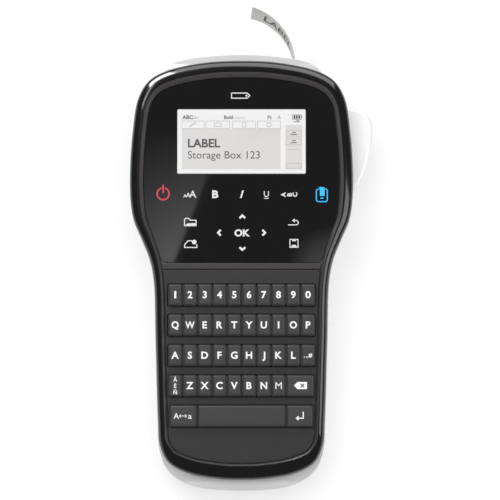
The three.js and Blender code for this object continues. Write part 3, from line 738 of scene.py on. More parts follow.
def function_icons(overlay):
    """The printed symbols of the sixteen function keys on the overlay."""

    def icon(name, lines, width=0.45, look=ICON_WHITE, fills=()):
        strokes("icon_" + name, lines, width, PANEL_TOP, look, overlay, fills)

    def letters(name, text, x, y, height, bold=0.02, **more):
        lettering("icon_" + name, text, x, y, PANEL_TOP, height, ICON_WHITE, overlay, bold, **more)

    ring = arc(-35.9, 36.0, 2.75, 108, 432, 32)
    icon("power", [ring, [(-35.9, 36.3), (-35.9, 40.2)]], 0.75, ICON_RED)
    for number, (x, height) in enumerate([(-25.9, 1.5), (-24.4, 2.2), (-22.3, 3.1)]):
        letters(f"size_{number}", "A", x, 34.3 + height / 2, height, 0.04)
    letters("bold", "B", -12.0, 35.8, 3.2, 0.2, width=1.1)
    letters("italic", "I", 0.2, 35.8, 3.2, 0.14, shear=0.3)
    letters("underline", "U", 11.4, 35.9, 2.6, 0.03)
    icon("underline_bar", [[(10.3, 33.9), (12.5, 33.9)]], 0.35)
    for letter, x in (("A", 19.2), ("B", 22.0), ("C", 24.5)):
        letters("lying_" + letter, letter, x, 35.6, 2.0, 0.1, quarter_turns=1)
    box = [(35.0, 38.3), *arc(35.2, 37.2, 0.9, 90, 180, 6), *arc(35.2, 33.3, 0.9, 180, 270, 6),
           *arc(38.4, 33.3, 0.9, 270, 360, 6), *arc(38.4, 37.4, 0.9, 0, 90, 6)]
    slip = [(35.2, 39.2), *arc(36.3, 38.2, 1.0, 150, 60, 6), (38.1, 39.0), (38.1, 35.0),
            (35.9, 35.0), (35.9, 38.0)]
    icon("print", [box, [(36.1, 34.0), (37.6, 34.0)]], 0.5, ICON_BLUE, fills=[slip])
    for name, x, y, dx, dy in [("up", 0.4, 25.4, 0, 1), ("down", 0.4, 10.8, 0, -1),
                               ("left", -10.1, 18.1, -1, 0), ("right", 10.2, 18.1, 1, 0)]:
        icon("arrow_" + name, [chevron(x, y, dx, dy, 0.6, 1.3)], 0.95)
    letters("ok", "OK", 0.3, 18.0, 2.9, 0.17, width=1.06)
    icon("folder", [[(-26.1, 21.3), (-26.1, 24.2), (-25.5, 24.7), (-24.3, 24.7), (-23.3, 23.8),
                     (-20.8, 23.8), (-20.8, 21.3), (-26.101, 21.3)]],
         fills=[[(-26.1, 21.3), (-24.6, 22.4), (-21.2, 22.5), (-20.8, 21.3)]])
    icon("back", [[(21.3, 21.7), *arc(25.0, 22.7, 1.0, -90, 90, 10), (24.2, 23.7)]],
         fills=[[(23.1, 23.7), (24.4, 24.6), (24.4, 22.8)]])
    icon("label", [[(-22.6, 14.4), (-24.4, 14.4), (-26.0, 12.6), (-26.0, 11.3), (-20.4, 11.3),
                    (-20.4, 12.8)]], fills=[arc(-21.6, 13.8, 1.05, 0, 340, 14)])
    icon("save", [frame_lines(24.0, 13.2, 3.7, 3.6)], 0.42,
         fills=[[(23.2, 15.0), (23.2, 14.2), (24.9, 14.2), (24.9, 15.0)],
                [(23.2, 12.5), (22.6, 11.5), (25.4, 11.5), (24.8, 12.5)]])
    tag = [(-4.6, 82.6), (-4.6, 80.2), (2.6, 80.2), (3.8, 81.4), (2.6, 82.6), (-4.6, 82.599)]
    icon("tag_mark", [tag], fills=[arc(2.3, 81.4, 0.42, 0, 340, 10)])


# ---- display

STATUS_WORDS = [  # name, text, x, y, height, look, bold
    ("mode", "ABC", -27.2, 71.4, 1.7, LCD_DARK, 0.06),
    ("case_mode", "abc", -22.4, 71.4, 1.5, LCD_FAINT, 0),
    ("style_mode", "Bold", -8.0, 71.4, 1.6, LCD_DARK, 0.04),
    ("font_mode", "mono", -3.2, 71.3, 1.4, LCD_FAINT, 0),
    ("size_mode", "Pt", 12.0, 71.4, 1.6, LCD_DARK, 0.03),
]
TAB_SPANS = [(-27.3, -17.1), (-16.3, -5.5), (-4.1, 6.5), (7.4, 17.9)]
TAB_Y, SIDE_X = 67.9, 24.0


def display():
    """The glass with its white border and the dark image on it."""
    tray = slab("display_tray", (0, DISPLAY_Y, 66, 38, 1.0), -0.8, 2.0, 0.3, INNER_GREY)
    glass = slab("display_glass", (0, DISPLAY_Y, DISPLAY_W, DISPLAY_H, 0.6), 1.0, DISPLAY_TOP,
                 0.12, LCD_BORDER, tray)
    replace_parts(tray, "display_module")
    for name, place in (("display_pane", (-4.7, 56.65, 45.2, 18.7, 0.2, 2)),
                        ("display_side_pane", (SIDE_X, 57.5, 7.6, 20.5, 0.2, 2))):
        slab(name, place, DISPLAY_TOP - 0.02, DISPLAY_TOP + 0.05, 0.01, LCD, glass)
    printed = DISPLAY_TOP + 0.06

    def mark(name, lines, width=0.2, look=LCD_FAINT, fills=()):
        strokes("lcd_" + name, lines, width, printed, look, glass, fills)

    def words(name, text, x, y, height, look=LCD_DARK, bold=0.0, width=1.0):
        lettering("lcd_" + name, text, x, y, printed, height, look, glass, bold, width, left=True)

    words("text_bold", "LABEL", -24.6, 59.4, 3.7, bold=0.14, width=1.02)
    words("text_line", "Storage Box 123", -24.6, 54.0, 3.4)
    for number, (left, right) in enumerate(TAB_SPANS):
        mark(f"tab_{number}", [frame_lines((left + right) / 2, TAB_Y, right - left, 3.5)], 0.22)
    mark("tab_pencil", [[(-24.0, 66.9), (-21.0, 69.0)]], 0.5)
    mark("tab_frame", [frame_lines(-10.9, TAB_Y, 3.2, 1.6)], 0.3)
    mark("tab_sheet", [frame_lines(1.2, TAB_Y, 1.6, 2.0)], 0.3)
    mark("tab_shape", [arc(12.6, TAB_Y, 1.0, 0, 355, 14)], 0.3)
    for entry in STATUS_WORDS:
        words(*entry)
    mark("size_glyph", [[(16.6, 70.7), (17.2, 72.1), (17.8, 70.7)]], 0.25, LCD_DARK)
    cells = [[(x, 70.8), (x + 0.8, 70.8), (x + 0.8, 72.2), (x, 72.2)] for x in (23.9, 25.0, 26.1)]
    mark("battery", [frame_lines(25.4, 71.5, 4.0, 2.0), [(27.6, 71.1), (27.6, 71.9)]], 0.25,
         LCD_DARK, cells)
    mark("plug", [[(23.9, 69.3), (27.0, 69.3)], [(25.2, 69.9), (26.4, 69.9)]], 0.3, LCD_DARK)
    for number, y in enumerate([63.9, 60.1]):
        mark(f"side_box_{number}", [frame_lines(SIDE_X, y, 7.0, 2.8)], 0.22)
        lines = [[(22.4, y - 0.5), (25.4, y - 0.5)], [(23.2, y + 0.5), (24.9, y + 0.5)]]
        mark(f"side_glyph_{number}", lines, 0.4, LCD_DARK)
    mark("side_line", [[(21.2, 56.4), (26.8, 56.4)]], 0.3)
    mark("side_box_low", [frame_lines(SIDE_X, 48.9, 7.0, 2.2)], 0.22)


# ---- keypad

# Each row lists its keys from left to right: name, legend and how many columns it spans.
KEY_ROWS = [
    [(n, n, 1) for n in "1234567890"],
    [(n, n.upper(), 1) for n in "qwertyuiop"],
    [(n, n.upper(), 1) for n in "asdfghjkl"] + [("comma", "", 1)],
    [("accent", "", 1)] + [(n, n.upper(), 1) for n in "zxcvbnm"] + [("backspace", "", 2)],
    [("caps", "", 2), ("space", "", 6), ("return", "", 2)],
]
LEGEND_SHAPE = {  # boldness and width of the letters whose strokes would close up or look thin
    "M": (0.0, 1.02), "W": (0.09, 0.88), "N": (0.11, 1.0), "O": (0.14, 0.95),
    "Q": (0.13, 0.93), "1": (0.15, 1.25), "0": (0.14, 1.12),
}
SMALL_LEGENDS = {  # key: (text, offset across, offset along, height, boldness)
    "comma": [(".", -1.7, 0, 1.9, 0.06), (",", -0.6, 0, 1.9, 0.06), ("#", 1.0, 0, 1.9, 0.06)],
    "accent": [(letter, 0, 2.7 - 2.9 * k, 1.7, 0.05) for k, letter in enumerate("ÂÉÑ")],
}
SKIRT, SKIRT_TOP = 0.28, 6.9
CAP_PROFILE = [  # inset, z
    (0.0, SKIRT_TOP), (0.05, 7.2), (0.14, 7.45), (0.28, 7.66), (0.48, 7.82), (0.75, 7.93),
    (1.0, 7.98), (1.35, 8.02),
]


def row_y(row):
    return FIRST_ROW_Y - row * PITCH_Y


def column_x(column):
    return KEYS_X + (column - (KEY_COLUMNS - 1) / 2) * PITCH_X


def row_limit(row):
    """The case narrows toward the bottom, and the outermost keys are cut back with it."""
    return min(crossing_x(inner_outline, row_y(row), 1) - 1.1, KEY_COLUMNS * PITCH_X / 2 - 0.2)


def key_slot(row, height):
    return rounded_rect(0, row_y(row), 2 * (row_limit(row) + 0.4), height, 1, 4)


def keypad_sheet():
    outline = outline_beyond(inner_outline, KEYPAD_EDGE_Y, -1, 1)
    slots = [key_slot(row, KEY_H + 0.8) for row in range(len(KEY_ROWS))]
    panel = flat_plate("keypad_sheet", outline, PANEL_BOTTOM, PANEL_TOP, 0.25, KEYPAD_FIELD,
                       holes=slots)
    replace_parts(panel, "keypad_panel")


def key_cap(name, x, y, width):
    """A cap with a soft bevel round a nearly flat top, on a foot wider than its slot."""

    def ring(wider, taller, corner, z):
        outline = rounded_rect(x, y, width + wider, KEY_H + taller, corner, 5)
        return [(p.x, p.y, z) for p in outline]

    rings = [ring(0, 1.8, 0.9, z) for z in (3.1, KEY_FOOT)]
    rings += [ring(2 * SKIRT, 0.3, 0.9, z) for z in (KEY_FOOT, SKIRT_TOP)]
    rings += [ring(-2 * step, -2 * step, max(0.35, 0.95 - step), z) for step, z in CAP_PROFILE]
    cap = mesh_piece("cap_" + name, *loft(rings), KEY_PLASTIC, "key_" + name, 45)
    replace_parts(cap, "key_" + name)
    return cap


def key_legend(name, legend, x, y, cap):
    """The white print on a key: a letter, or a symbol for the special keys."""
    top = CAP_PROFILE[-1][1]

    def symbol(lines, width=0.4, fills=()):
        strokes("legend_" + name, lines, width, top, WHITE_INK, cap, fills)

    def letter(suffix, text, dx, dy, height, bold, width=1.0):
        lettering("legend_" + name + suffix, text, x + dx, y + dy, top, height, WHITE_INK, cap,
                  bold, width)

    for number, entry in enumerate(SMALL_LEGENDS.get(name, [])):
        letter(f"_{number}", *entry)
    if legend:
        letter("", legend, 0, 0, 3.0, *LEGEND_SHAPE.get(legend, (0.13, 1.02)))
    elif name == "backspace":
        symbol([], fills=[[(x - 2.9, y), (x - 1.4, y - 1.6), (x + 3.0, y - 1.6),
                           (x + 3.0, y + 1.6), (x - 1.4, y + 1.6)]])
        cross = [[(x + 0.1, y - 0.8), (x + 1.7, y + 0.8)], [(x + 0.1, y + 0.8), (x + 1.7, y - 0.8)]]
        strokes("legend_backspace_cross", cross, 0.45, top + 0.03, KEY_PLASTIC, cap)
    elif name == "caps":
        letter("_large", "A", -3.1, 0, 2.5, 0.03)
        letter("_small", "a", 3.1, 0, 2.5, 0.03)
        symbol([[(x - 1.7, y), (x + 1.6, y)], [(x - 1.0, y + 0.7), (x - 1.7, y), (x - 1.0, y - 0.7)],
                [(x + 0.9, y + 0.7), (x + 1.6, y), (x + 0.9, y - 0.7)]], 0.25)
    elif name == "return":
        symbol([[(x + 1.5, y + 1.9), (x + 1.5, y - 1.0), (x - 1.5, y - 1.0)],
                [(x - 0.6, y - 0.1), (x - 1.6, y - 1.0), (x - 0.6, y - 1.9)]], 0.5)


def keys():
    for row, entries in enumerate(KEY_ROWS):
        column, limit = 0, row_limit(row)
        for name, legend, span in entries:
            left = max(column_x(column) - KEY_W / 2, -limit)
            right = min(column_x(column + span - 1) + KEY_W / 2, limit)
            x, y = (left + right) / 2, row_y(row)
            cap = key_cap(name, x, y, right - left)
            key_legend(name, legend, x, y, cap)
            column += span


# ---- rear case


def ground_z(y):
    """Height of the ground below the case axis at a place along the case."""
    return -(GROUND + y * math.sin(TILT)) / math.cos(TILT)


def back_z(y):
    """Height of the back along the case: heel, handle, neck, head and two round ends."""
    z = mix(-HANDLE_DEPTH, ground_z(y), ease(y, -5, 16))
    z = mix(z, ground_z(y), ease(-y, 77, 84))
    top = (y - (REAR_OUTLINE[0][1] - TOP_ROUND[0])) / TOP_ROUND[0]
    bottom = (REAR_OUTLINE[-1][1] + BOTTOM_ROUND[0] - y) / BOTTOM_ROUND[0]
    for past, depth in ((top, TOP_ROUND[1]), (bottom, BOTTOM_ROUND[1])):
        if past > 0:
            z += depth * (1 - math.sqrt(max(0, 1 - past * past)))
    return z


def rear_section(half_width, y, top, bottom, lip, steps=10):
    """One cross-section of the rear case, open side up, from right to left."""
    rx = min(REAR_CORNER, half_width * 0.6)
    rz = min(REAR_CORNER, (top - bottom) * 0.6)
    right = [(half_width - lip, top), (half_width - lip * 0.3, top - lip * 0.3),
             (half_width, top - lip)]
    for k in range(steps + 1):
        angle = k / steps * math.pi / 2
        right.append((half_width - rx + rx * math.cos(angle), bottom + rz - rz * math.sin(angle)))
    left = [(-x, z) for x, z in reversed(right)]
    return [(x, y, z) for x, z in right + left]


def rear_lump(name, wall, top, lip):
    outline = inset(mirrored_outline(REAR_OUTLINE, REAR_SAMPLES), wall)
    right = sorted((p for p in outline if p.x > 0.8), key=lambda p: p.y)
    rings = [rear_section(p.x, p.y, top, back_z(p.y) + wall(p.y), lip) for p in right]
    return tool_mesh(name, rings)


def tool_mesh(name, rings, place=to_row):
    """A bare mesh object through rings, to cut or to be cut."""
    vertices, faces = loft(rings)
    made = bmesh.new()
    corners = [made.verts.new(place(v)) for v in vertices]
    for face in faces:
        made.faces.new([corners[i] for i in face])
    bmesh.ops.recalc_face_normals(made, faces=made.faces[:])
    return add_object(name, built_mesh(name, made))


def block(x, y, z, corner=0.01, place=to_row):
    """A box tool between pairs of coordinates, its corners rounded as seen along z."""
    outline = rounded_rect(sum(x) / 2, sum(y) / 2, x[1] - x[0], y[1] - y[0], corner, 4)
    return tool_mesh("tool", [[(*p, level) for p in outline] for level in z], place)


def post(x, y, z, radius):
    return tool_mesh("tool", [[(*p, level) for p in circle(x, y, radius)] for level in z])


def cut_away(target, tools):
    """Subtracts each tool from the target's mesh."""
    for tool in tools:
        cutter = target.modifiers.new("cut", "BOOLEAN")
        cutter.operation = "DIFFERENCE"
        cutter.solver = "EXACT"
        cutter.object = tool
        mesh = evaluated(target)
        target.modifiers.clear()
        old, target.data = target.data, mesh
        bpy.data.meshes.remove(old)
        bpy.data.objects.remove(tool)


def wall_at(y):
    return WALL + END_WALL * (ease(y, 90, 96) + ease(-y, 74, 86))


def rear_shell():
    """The silver case, hollow and cut through for everything that passes its wall."""
    shell = rear_lump("rear_shell", lambda y: 0, 0, 0.7)
    cut_away(shell, [
        rear_lump("hollow", wall_at, 5, 0.01),
        block((-33.4, 33.4), (33.6, 86.6), (-5, 9), 1.2, ground_to_row),  # cassette bay
        block((-23.4, 23.4), (-72.6, -9.6), (-60, -10.6), 1.2),  # battery bay
        block((40, 60), (36.4, 80.2), (LEVER_BOTTOM - 0.6, LEVER_TOP + 0.6)),
        block((TAPE_X - 1.4, TAPE_X + 1.4), (88, 104), (TAPE_Z - 7, TAPE_Z + 7)),
        block((-60, -44), (23.5, 32.5), (-16, -12)),  # power inlet
    ])
    cut_away(shell, [post(x, y, (-60, -10), 3.1) for x, y in SCREWS])
    bevel = shell.modifiers.new("soft_edges", "BEVEL")
    bevel.width = 0.25 * MM
    bevel.segments = 2
    bevel.limit_method = "ANGLE"
    bevel.angle_limit = math.radians(50)
    mesh = evaluated(shell)
    bpy.data.objects.remove(shell)
    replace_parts(link("rear_shell", mesh, SILVER, "case", 40), "rear_housing")


def bay_floors():
    """Floors of the cassette bay and the battery bay, and the screw bosses."""
    ring = inset(mirrored_outline(REAR_OUTLINE, FLOOR_SAMPLES), lambda y: wall_at(y) - 0.3)
    flat_plate("head_floor", outline_beyond(ring, 22, 1, 1), *HEAD_FLOOR, 0.2, INNER_GREY)
    handle = outline_beyond(outline_beyond(ring, -6, -1, 1), -82, 1, 1)
    flat_plate("handle_floor", handle, *HANDLE_FLOOR, 0.2, INNER_GREY)
    for name, half_width, y, floor in [("head_wall", 50, 22.0, HEAD_FLOOR),
                                       ("neck_wall", 38, -6, HANDLE_FLOOR),
                                       ("heel_wall", 36, -76, HANDLE_FLOOR)]:
        reach = min(half_width, crossing_x(ring, y, 1) - REAR_CORNER * 0.55)
        slab(name, (0, y, 2 * reach, 1.6, 0.5), back_z(y) + 1.5, floor[0] + 0.5, 0.2, INNER_GREY)
    sleeve = [(4.4, -10.0), (4.4, -3.5), (4.2, -3.3), (1.2, -3.3), (1.1, -9.9)]
    for number, (x, y) in enumerate(SCREWS):
        turned(f"screw_boss_{number}", sleeve, (x, y), INNER_GREY)
        screw(number, x, y)


def screw(number, x, y):
    """A pan-head screw with a cross recess, sunk in its well."""
    head = [(0.3, -12.1), (1.0, -12.05), (1.9, -11.8), (2.45, -11.3), (2.6, -10.6), (2.5, -10.1),
            (1.1, -9.5)]
    made = turned(f"screw_{number}", head, (x, y), STEEL)
    cut_away(made, [block((x - dx, x + dx), (y - dy, y + dy), (-13, -11.1))
                    for dx, dy in ((1.5, 0.3), (0.3, 1.5))])


def power_inlet():
    """Socket for a mains adapter on the left side of the head, with its two pins."""
    def face(point):
        across, up, depth = point
        return to_row((-48.5 + depth, 28 + across, -14 + up))

    opening = rounded_rect(0, 0, 7.2, 2.4, 0.5)
    slab("inlet_socket", (0, 0, 8.6, 3.6, 0.8), 0, 4.5, 0.15, INNER_GREY, "case", [opening], face)
    for number, across in enumerate((-2.0, 2.0)):
        flat_plate(f"inlet_pin_{number}", circle(across, 0, 0.5, 16), 1.2, 4.4, 0.1, STEEL,
                   place=face)


def exit_lips():
    """Raised lips round the slot that the label comes out of."""
    def face(point):
        across, up, out = point
        return to_row((TAPE_X + across, 98.0 + out, TAPE_Z + up))

    opening = rounded_rect(0, 0, 2.5, 13.6, 0.6)
    slab("label_exit_lip", (0, 0, 4.6, 16.0, 1.2), 0, 1.4, 0.3, INNER_GREY, "case", [opening], face)


def ribbed_cover(name, node, half_width, start, end, bottom, barrel_y, place):
    """A hinged cover with grip ribs at its free edge, a snap tab and a knuckled hinge."""

    def part(suffix, rectangle, low, high, bevel, body):
        return slab(name + suffix, rectangle, bottom + low, bottom + high, bevel, SILVER, body,
                    place=place)

    middle = (start + end) / 2
    plate = part("", (0, middle, 2 * half_width, end - start, 1.4), 0, 1.8, 0.3, node)
    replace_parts(plate, node)
    free, inward = (start, 1) if barrel_y > middle else (end, -1)
    for number in range(6):
        rib = (0, free + inward * (4.5 + 1.7 * number), 18 - 0.6 * number, 0.8, 0.4)
        part(f"_rib_{number}", rib, -0.25, 0.4, 0.2, plate)
    part("_tab", (0, free + inward * 1.6, 12, 2.2, 0.5), 1.4, 3.0, 0.3, plate)

    def barrel(suffix, centre, reach, radius, look, sides):
        ends = [(centre + dx, barrel_y, bottom + 1.5) for dx in (-reach, reach)]
        tube(name + suffix, ends, radius, look, plate, place, sides)

    for number in range(5):
        x = half_width * (-0.8 + 0.4 * number)
        barrel(f"_knuckle_{number}", x, half_width * 0.13, 1.45, SILVER, 24)
    barrel("_pin", 0, half_width * 0.96, 0.7, STEEL, 16)


# ---- lever and label


def cutter_lever():
    """A bowed thumb lever with wide soft edges that turns on a pin in the case."""
    outline = [Vector(p) for p in [(43.3, 45), (43.3, 38), (48.2, 37.6)]]
    for points, steps in [([(48.2, 37.6), (51.8, 37.6), (53.8, 40.8)], 6),
                          ([(53.8, 40.8), (58.4, 47.6), (60.9, 59), (61.1, 69.8)], 20),
                          ([(61.1, 69.8), (61.1, 74.4), (56.2, 77.1), (49, 78.7)], 16)]:
        outline += bezier(points, steps)
    outline.append(Vector((43.3, 78.7)))
    pivot = LEVER_PIVOT[:2]
    lever = flat_plate("lever", outline, LEVER_BOTTOM, LEVER_TOP, 1.5, LEVER_SILVER,
                       "cutter_lever", [circle(*pivot, 1.7, 24)])
    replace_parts(lever, "cutter_lever")
    turned("lever_pin", [(1.3, -22.4), (1.3, -10.0), (1.1, -9.8)], pivot, STEEL, 24)


def on_tape(point):
    """From (length along, height across the width, distance off the face) to the row frame."""
    length, height, off = point
    start, radius = TAPE_CURL["start"], TAPE_CURL["radius"]
    turn = max(0.0, length - (start - TAPE_START_Y)) / radius
    x = TAPE_X - radius * (1 - math.cos(turn))
    y = min(TAPE_START_Y + length, start) + radius * math.sin(turn)
    along = Vector((-math.sin(turn), math.cos(turn), 0))
    twist = Matrix.Rotation(TAPE_CURL["twist"] * turn / TAPE_CURL["turn"], 3, along)
    across = twist @ Vector((math.cos(turn), math.sin(turn), 0))
    edge = twist @ Vector((0, 0, 1))
    return to_row(Vector((x, y, TAPE_Z)) + edge * height + across * off)


def label_tape():
    """The printed label: a ribbon on edge that curls over, with bold letters on the face that
    turns to the front, read from the free end."""
    total = TAPE_CURL["start"] - TAPE_START_Y + TAPE_CURL["radius"] * TAPE_CURL["turn"]
    half, thick, steps = TAPE_W / 2, 0.11, 96
    corners = [(-half, -thick), (-half, thick), (half, thick), (half, -thick)]
    rings = [[(total * k / steps, *corner) for corner in corners] for k in range(steps + 1)]
    ribbon = mesh_piece("label_ribbon", *loft(rings), LABEL_PAPER, "label_tape", place=on_tape)
    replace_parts(ribbon, "label_tape")
    mesh = text_mesh("LABEL", 5.2 / CAP_HEIGHT, 0.22)
    squeeze = min(1.0, 10 / max(v.co.x for v in mesh.vertices))
    for v in mesh.vertices:
        along = total - 16 - v.co.x * squeeze
        v.co = on_tape((along, v.co.y - 2.6, -0.12 - v.co.z * 0.5))
    link("label_ink", mesh, LABEL_INK, ribbon)


# ---- inside

CASSETTE_BOTTOM, CASSETTE_TOP = -28, -10.4
SPOOLS = [(-14, 58), (6, 44)]
BATTERY_FACE = -17.4
CHIPS = [  # centre x and y, width, height, thickness
    (-18, 20, 14, 14, 1.2), (12, 26, 10, 7, 1.0), (-8, -20, 7, 5, 1.0), (16, -34, 9, 9, 1.2),
]


def cassette():
    """The tape cassette: a lidded case with two spools, a sticker and a guide arm."""
    low, high = CASSETTE_BOTTOM, CASSETTE_TOP
    holes = [circle(*spool, 4) for spool in SPOOLS]
    shell = slab("cassette_shell", (-7, 55.25, 48, 46.5, 5), low + 0.6, high, 0.5, CASSETTE_GREY,
                 holes=holes)
    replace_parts(shell, "label_cassette")
    slab("cassette_lid", (-7, 55.25, 46.4, 44.9, 4.4), low, low + 0.9, 0.25, CASSETTE_GREY, shell,
         holes)
    slab("cassette_arm", (20, 36.8, 14, 9.6, 1.5), low, high, 0.5, CASSETTE_GREY, shell)
    slab("cassette_sticker", (-7, 72.0, 34, 8, 1), low - 0.06, low + 0.05, 0.03, LABEL_PAPER, shell)
    for number, (x, y) in enumerate(SPOOLS):
        spokes = [polar(x, y, 2.1 if k % 8 < 2 else 2.7, 2 * math.pi * k / 48) for k in range(48)]
        flat_plate(f"spool_{number}", circle(x, y, 3.6, 48), low + 0.8, high - 0.8, 0.15, NYLON,
                   shell, [spokes])


def battery():
    """A wrapped battery pack with a sticker and four contacts."""
    pack = slab("battery_block", (0, -40, 42, 54, 4), BATTERY_FACE, -6, 1.4, BATTERY_WRAP)
    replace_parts(pack, "battery_pack")
    slab("battery_sticker", (0, -40, 30, 34, 1.5), BATTERY_FACE - 0.06, BATTERY_FACE + 0.1, 0.04,
         LABEL_PAPER, pack)
    for number, x in enumerate((-12, -6, 6, 12)):
        slab(f"battery_contact_{number}", (x, -64.5, 3.2, 2.6, 0.4), BATTERY_FACE - 0.15,
             BATTERY_FACE + 0.2, 0.08, STEEL, pack)


def inside():
    """The cassette, the battery, the chips, and finishes for the CAD nodes that stay."""
    cassette()
    battery()
    for number, (*place, tall) in enumerate(CHIPS):
        slab(f"chip_{number}", (*place, 0.4), -2.9 - tall, -2.95, 0.12, CHIP_EPOXY)
    for name, look in [
        ("main_board", BOARD_GREEN), ("key_membrane", MEMBRANE_RUBBER), ("print_head", STEEL),
        ("platen_roller", ROLLER_RUBBER), ("drive_gear", NYLON), ("drive_motor", MOTOR_STEEL),
        ("cutter_blade", BLADE_STEEL),
    ]:
        materials = frame["nodes"][name].data.materials
        materials.clear()
        materials.append(look)


# ---- floor, lights and camera

# Lengths are in metres in the row frame, but points on the case are in its own millimetres.
CAMERA_TARGET, CAMERA_DISTANCE, CAMERA_ELEVATION = (3.9, 10.1, 6), 1.1, math.radians(78)
FIELD_WIDTH = 0.2285  # what the picture spans at the front face
CARD_HEIGHT = 0.55
CARD_EDGE = [(-5.7, 70), (-31, 4.5)]  # two points of the slanted line on the overlay
CARD_GLOW = (1.45, 0.02)  # strength at the lower and upper end of the slanted line
CARD_REACH = 0.06  # how far the glow takes to fade sideways
CORNER_GLOW, CORNER_REACH = (42, 0), 0.042  # where the other glow is brightest, and its radius
WORLD_LIGHT = 0.14
SOFTBOXES = [  # name, place, width, height, radiance, effect
    ("key_softbox", (-0.55, 0.4, 1.0), 0.5, 0.6, 4.5, "highlight"),
    ("key_fill", (-0.4, 0.4, 1.0), 0.8, 0.8, 1.3, "light"),
    ("right_softbox", (0.75, 0.25, 0.75), 0.4, 0.6, 1.1, "light"),
    ("waist_card", (0.36, -0.05, 0.27), 0.16, 0.24, 2.3, "highlight"),
    ("back_strip", (0.3, 1.2, 0.7), 1.5, 0.7, 2.6, "highlight"),
    ("shoulder_light", (-0.64, 1.04, 0.68), 0.6, 0.5, 16.0, "highlight"),
    ("top_fill", (0.0, 0.0, 1.5), 1.6, 1.6, 2.35, "light"),
    ("heel_fill", (0.0, -1.3, 0.4), 1.4, 0.5, 2.2, "light"),
]


def floor():
    made = bmesh.new()
    bmesh.ops.create_grid(made, x_segments=8, y_segments=8, size=4)
    plane = add_object("floor", built_mesh("floor", made))
    plane.data.materials.append(floor_paper())
    plane.location.z = -0.0002


def aim(obj, place, direction):
    obj.location = place
    obj.rotation_mode = "QUATERNION"
    obj.rotation_quaternion = direction.to_track_quat("-Z", "Y")


def area_light(name, place, width, height, radiance, effect):
    """A softbox that faces the object, for its highlights only or for its light only."""
    light = bpy.data.lights.new(name, "AREA")
    light.shape = "RECTANGLE"
    light.size, light.size_y = width, height
    light.energy = radiance * math.pi * width * height
    lamp = add_object(name, light)
    aim(lamp, place, Vector((0, 0, 0.03)) - Vector(place))
    lamp.visible_camera = False
    lamp.visible_glossy = effect != "light"
    lamp.visible_diffuse = effect != "highlight"


def camera():
    """Straight on from the front, leaning a little toward the handle end."""
    data = bpy.data.cameras.new("camera")
    data.lens = CAMERA_DISTANCE * data.sensor_width / FIELD_WIDTH
    data.clip_start, data.clip_end = 0.01, 50
    cam = add_object("camera", data)
    back = Vector((0, -math.cos(CAMERA_ELEVATION), math.sin(CAMERA_ELEVATION)))
    aim(cam, to_row(CAMERA_TARGET) + back * CAMERA_DISTANCE, -back)
    bpy.context.scene.camera = cam
    return cam


class CardGlow(Nodes):
    """A material of light alone, whose strength depends on the place."""

    def __init__(self, name):
        super().__init__(name)
        self.tree.nodes.clear()
        self.place = self.node("NewGeometry").outputs["Position"]

    def measured(self, operation, vector):
        inputs = {0: self.place, 1: vector}
        return self.node("VectorMath", inputs, operation=operation).outputs["Value"]

    def fade(self, value, start, end, low, high, curve="LINEAR"):
        inputs = {"Value": value, "From Min": start, "From Max": end, "To Min": low,
                  "To Max": high}
        return self.node("MapRange", inputs, interpolation_type=curve).outputs[0]

    def maths(self, operation, first, second):
        return self.node("Math", {0: first, 1: second}, operation=operation).outputs[0]

    def shine(self, strength):
        """Glow with this strength, and nowhere less than the room behind the card."""
        strength = self.maths("MAXIMUM", strength, WORLD_LIGHT)
        light = self.node("Emission", {"Strength": strength}).outputs[0]
        self.node("OutputMaterial", {"Surface": light})


def glowing_card(name, corners, look):
    """A card that only mirror images show."""
    mesh = bpy.data.meshes.new(name)
    mesh.from_pydata(corners, [], [(0, 1, 2, 3)])
    mesh.materials.append(look.material)
    card = add_object(name, mesh)
    card.visible_camera = False
    card.visible_shadow = False
    card.visible_diffuse = False


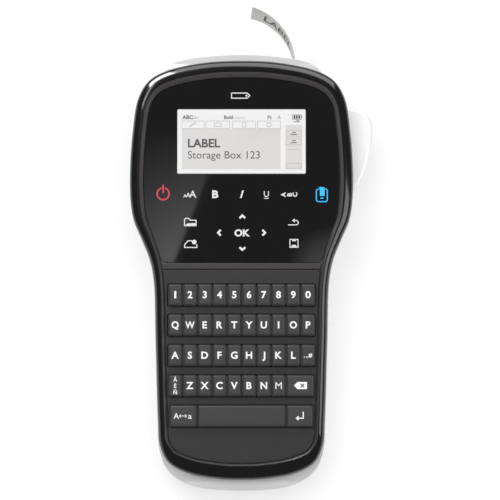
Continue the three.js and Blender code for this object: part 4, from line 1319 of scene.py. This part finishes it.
def reflection_cards(cam):
    """Glowing cards overhead whose mirror images in the overlay end along a slanted line and
    fade away near its lower right corner."""
    normal = TURN @ Vector((0, 0, 1))

    def mirrored(x, y):
        hit = to_row((x, y, PANEL_TOP))
        ray = (hit - cam.location).normalized()
        ray -= 2 * ray.dot(normal) * normal
        return hit + ray * (CARD_HEIGHT / ray.dot(normal))

    top, bottom = (mirrored(*point) for point in CARD_EDGE)
    along = (top - bottom).normalized()
    aside = normal.cross(along)
    start, end = bottom - along * 0.35, top + along * 0.35
    look = CardGlow("slanted_glow")
    up = look.fade(look.measured("DOT_PRODUCT", along), bottom.dot(along), top.dot(along),
                   *CARD_GLOW)
    edge = bottom.dot(aside)
    left = look.fade(look.measured("DOT_PRODUCT", aside), edge, edge + CARD_REACH, 1, 0.2)
    look.shine(look.maths("MULTIPLY", up, left))
    glowing_card("slanted_card", [start, end, end + aside * 0.5, start + aside * 0.5], look)
    middle = mirrored(*CORNER_GLOW)
    side = normal.cross(Vector((0, 1, 0)))
    ahead = side.cross(normal)
    look = CardGlow("corner_glow")
    distance = look.measured("DISTANCE", middle)
    look.shine(look.fade(distance, 0, CORNER_REACH, 1.0, 0, "SMOOTHSTEP"))
    corners = [middle + side * CORNER_REACH * a + ahead * CORNER_REACH * b
               for a, b in ((-1, -1), (1, -1), (1, 1), (-1, 1))]
    glowing_card("corner_card", corners, look)


def studio():
    """A dim white room with softboxes that the rim, the keys and the silver paint reflect."""
    world = bpy.data.worlds.new("studio")
    bpy.context.scene.world = world
    world.use_nodes = True
    background = world.node_tree.nodes["Background"]
    background.inputs["Color"].default_value = opaque(1)
    background.inputs["Strength"].default_value = WORLD_LIGHT
    for softbox in SOFTBOXES:
        area_light(*softbox)
    bpy.context.scene.view_settings.view_transform = "Standard"


# ---- assembly

front_case()
function_icons(overlay_sheet())
display()
keypad_sheet()
keys()
rear_shell()
bay_floors()
power_inlet()
exit_lips()
ribbed_cover("door_panel", "cassette_door", half_width=33, start=34, end=84.0, bottom=0.6,
             barrel_y=84.5, place=ground_to_row)
ribbed_cover("battery_panel", "battery_cover", half_width=23, start=-69.5, end=-10, bottom=-20,
             barrel_y=-70.5, place=to_row)
cutter_lever()
label_tape()
inside()
floor()
studio()
reflection_cards(camera())
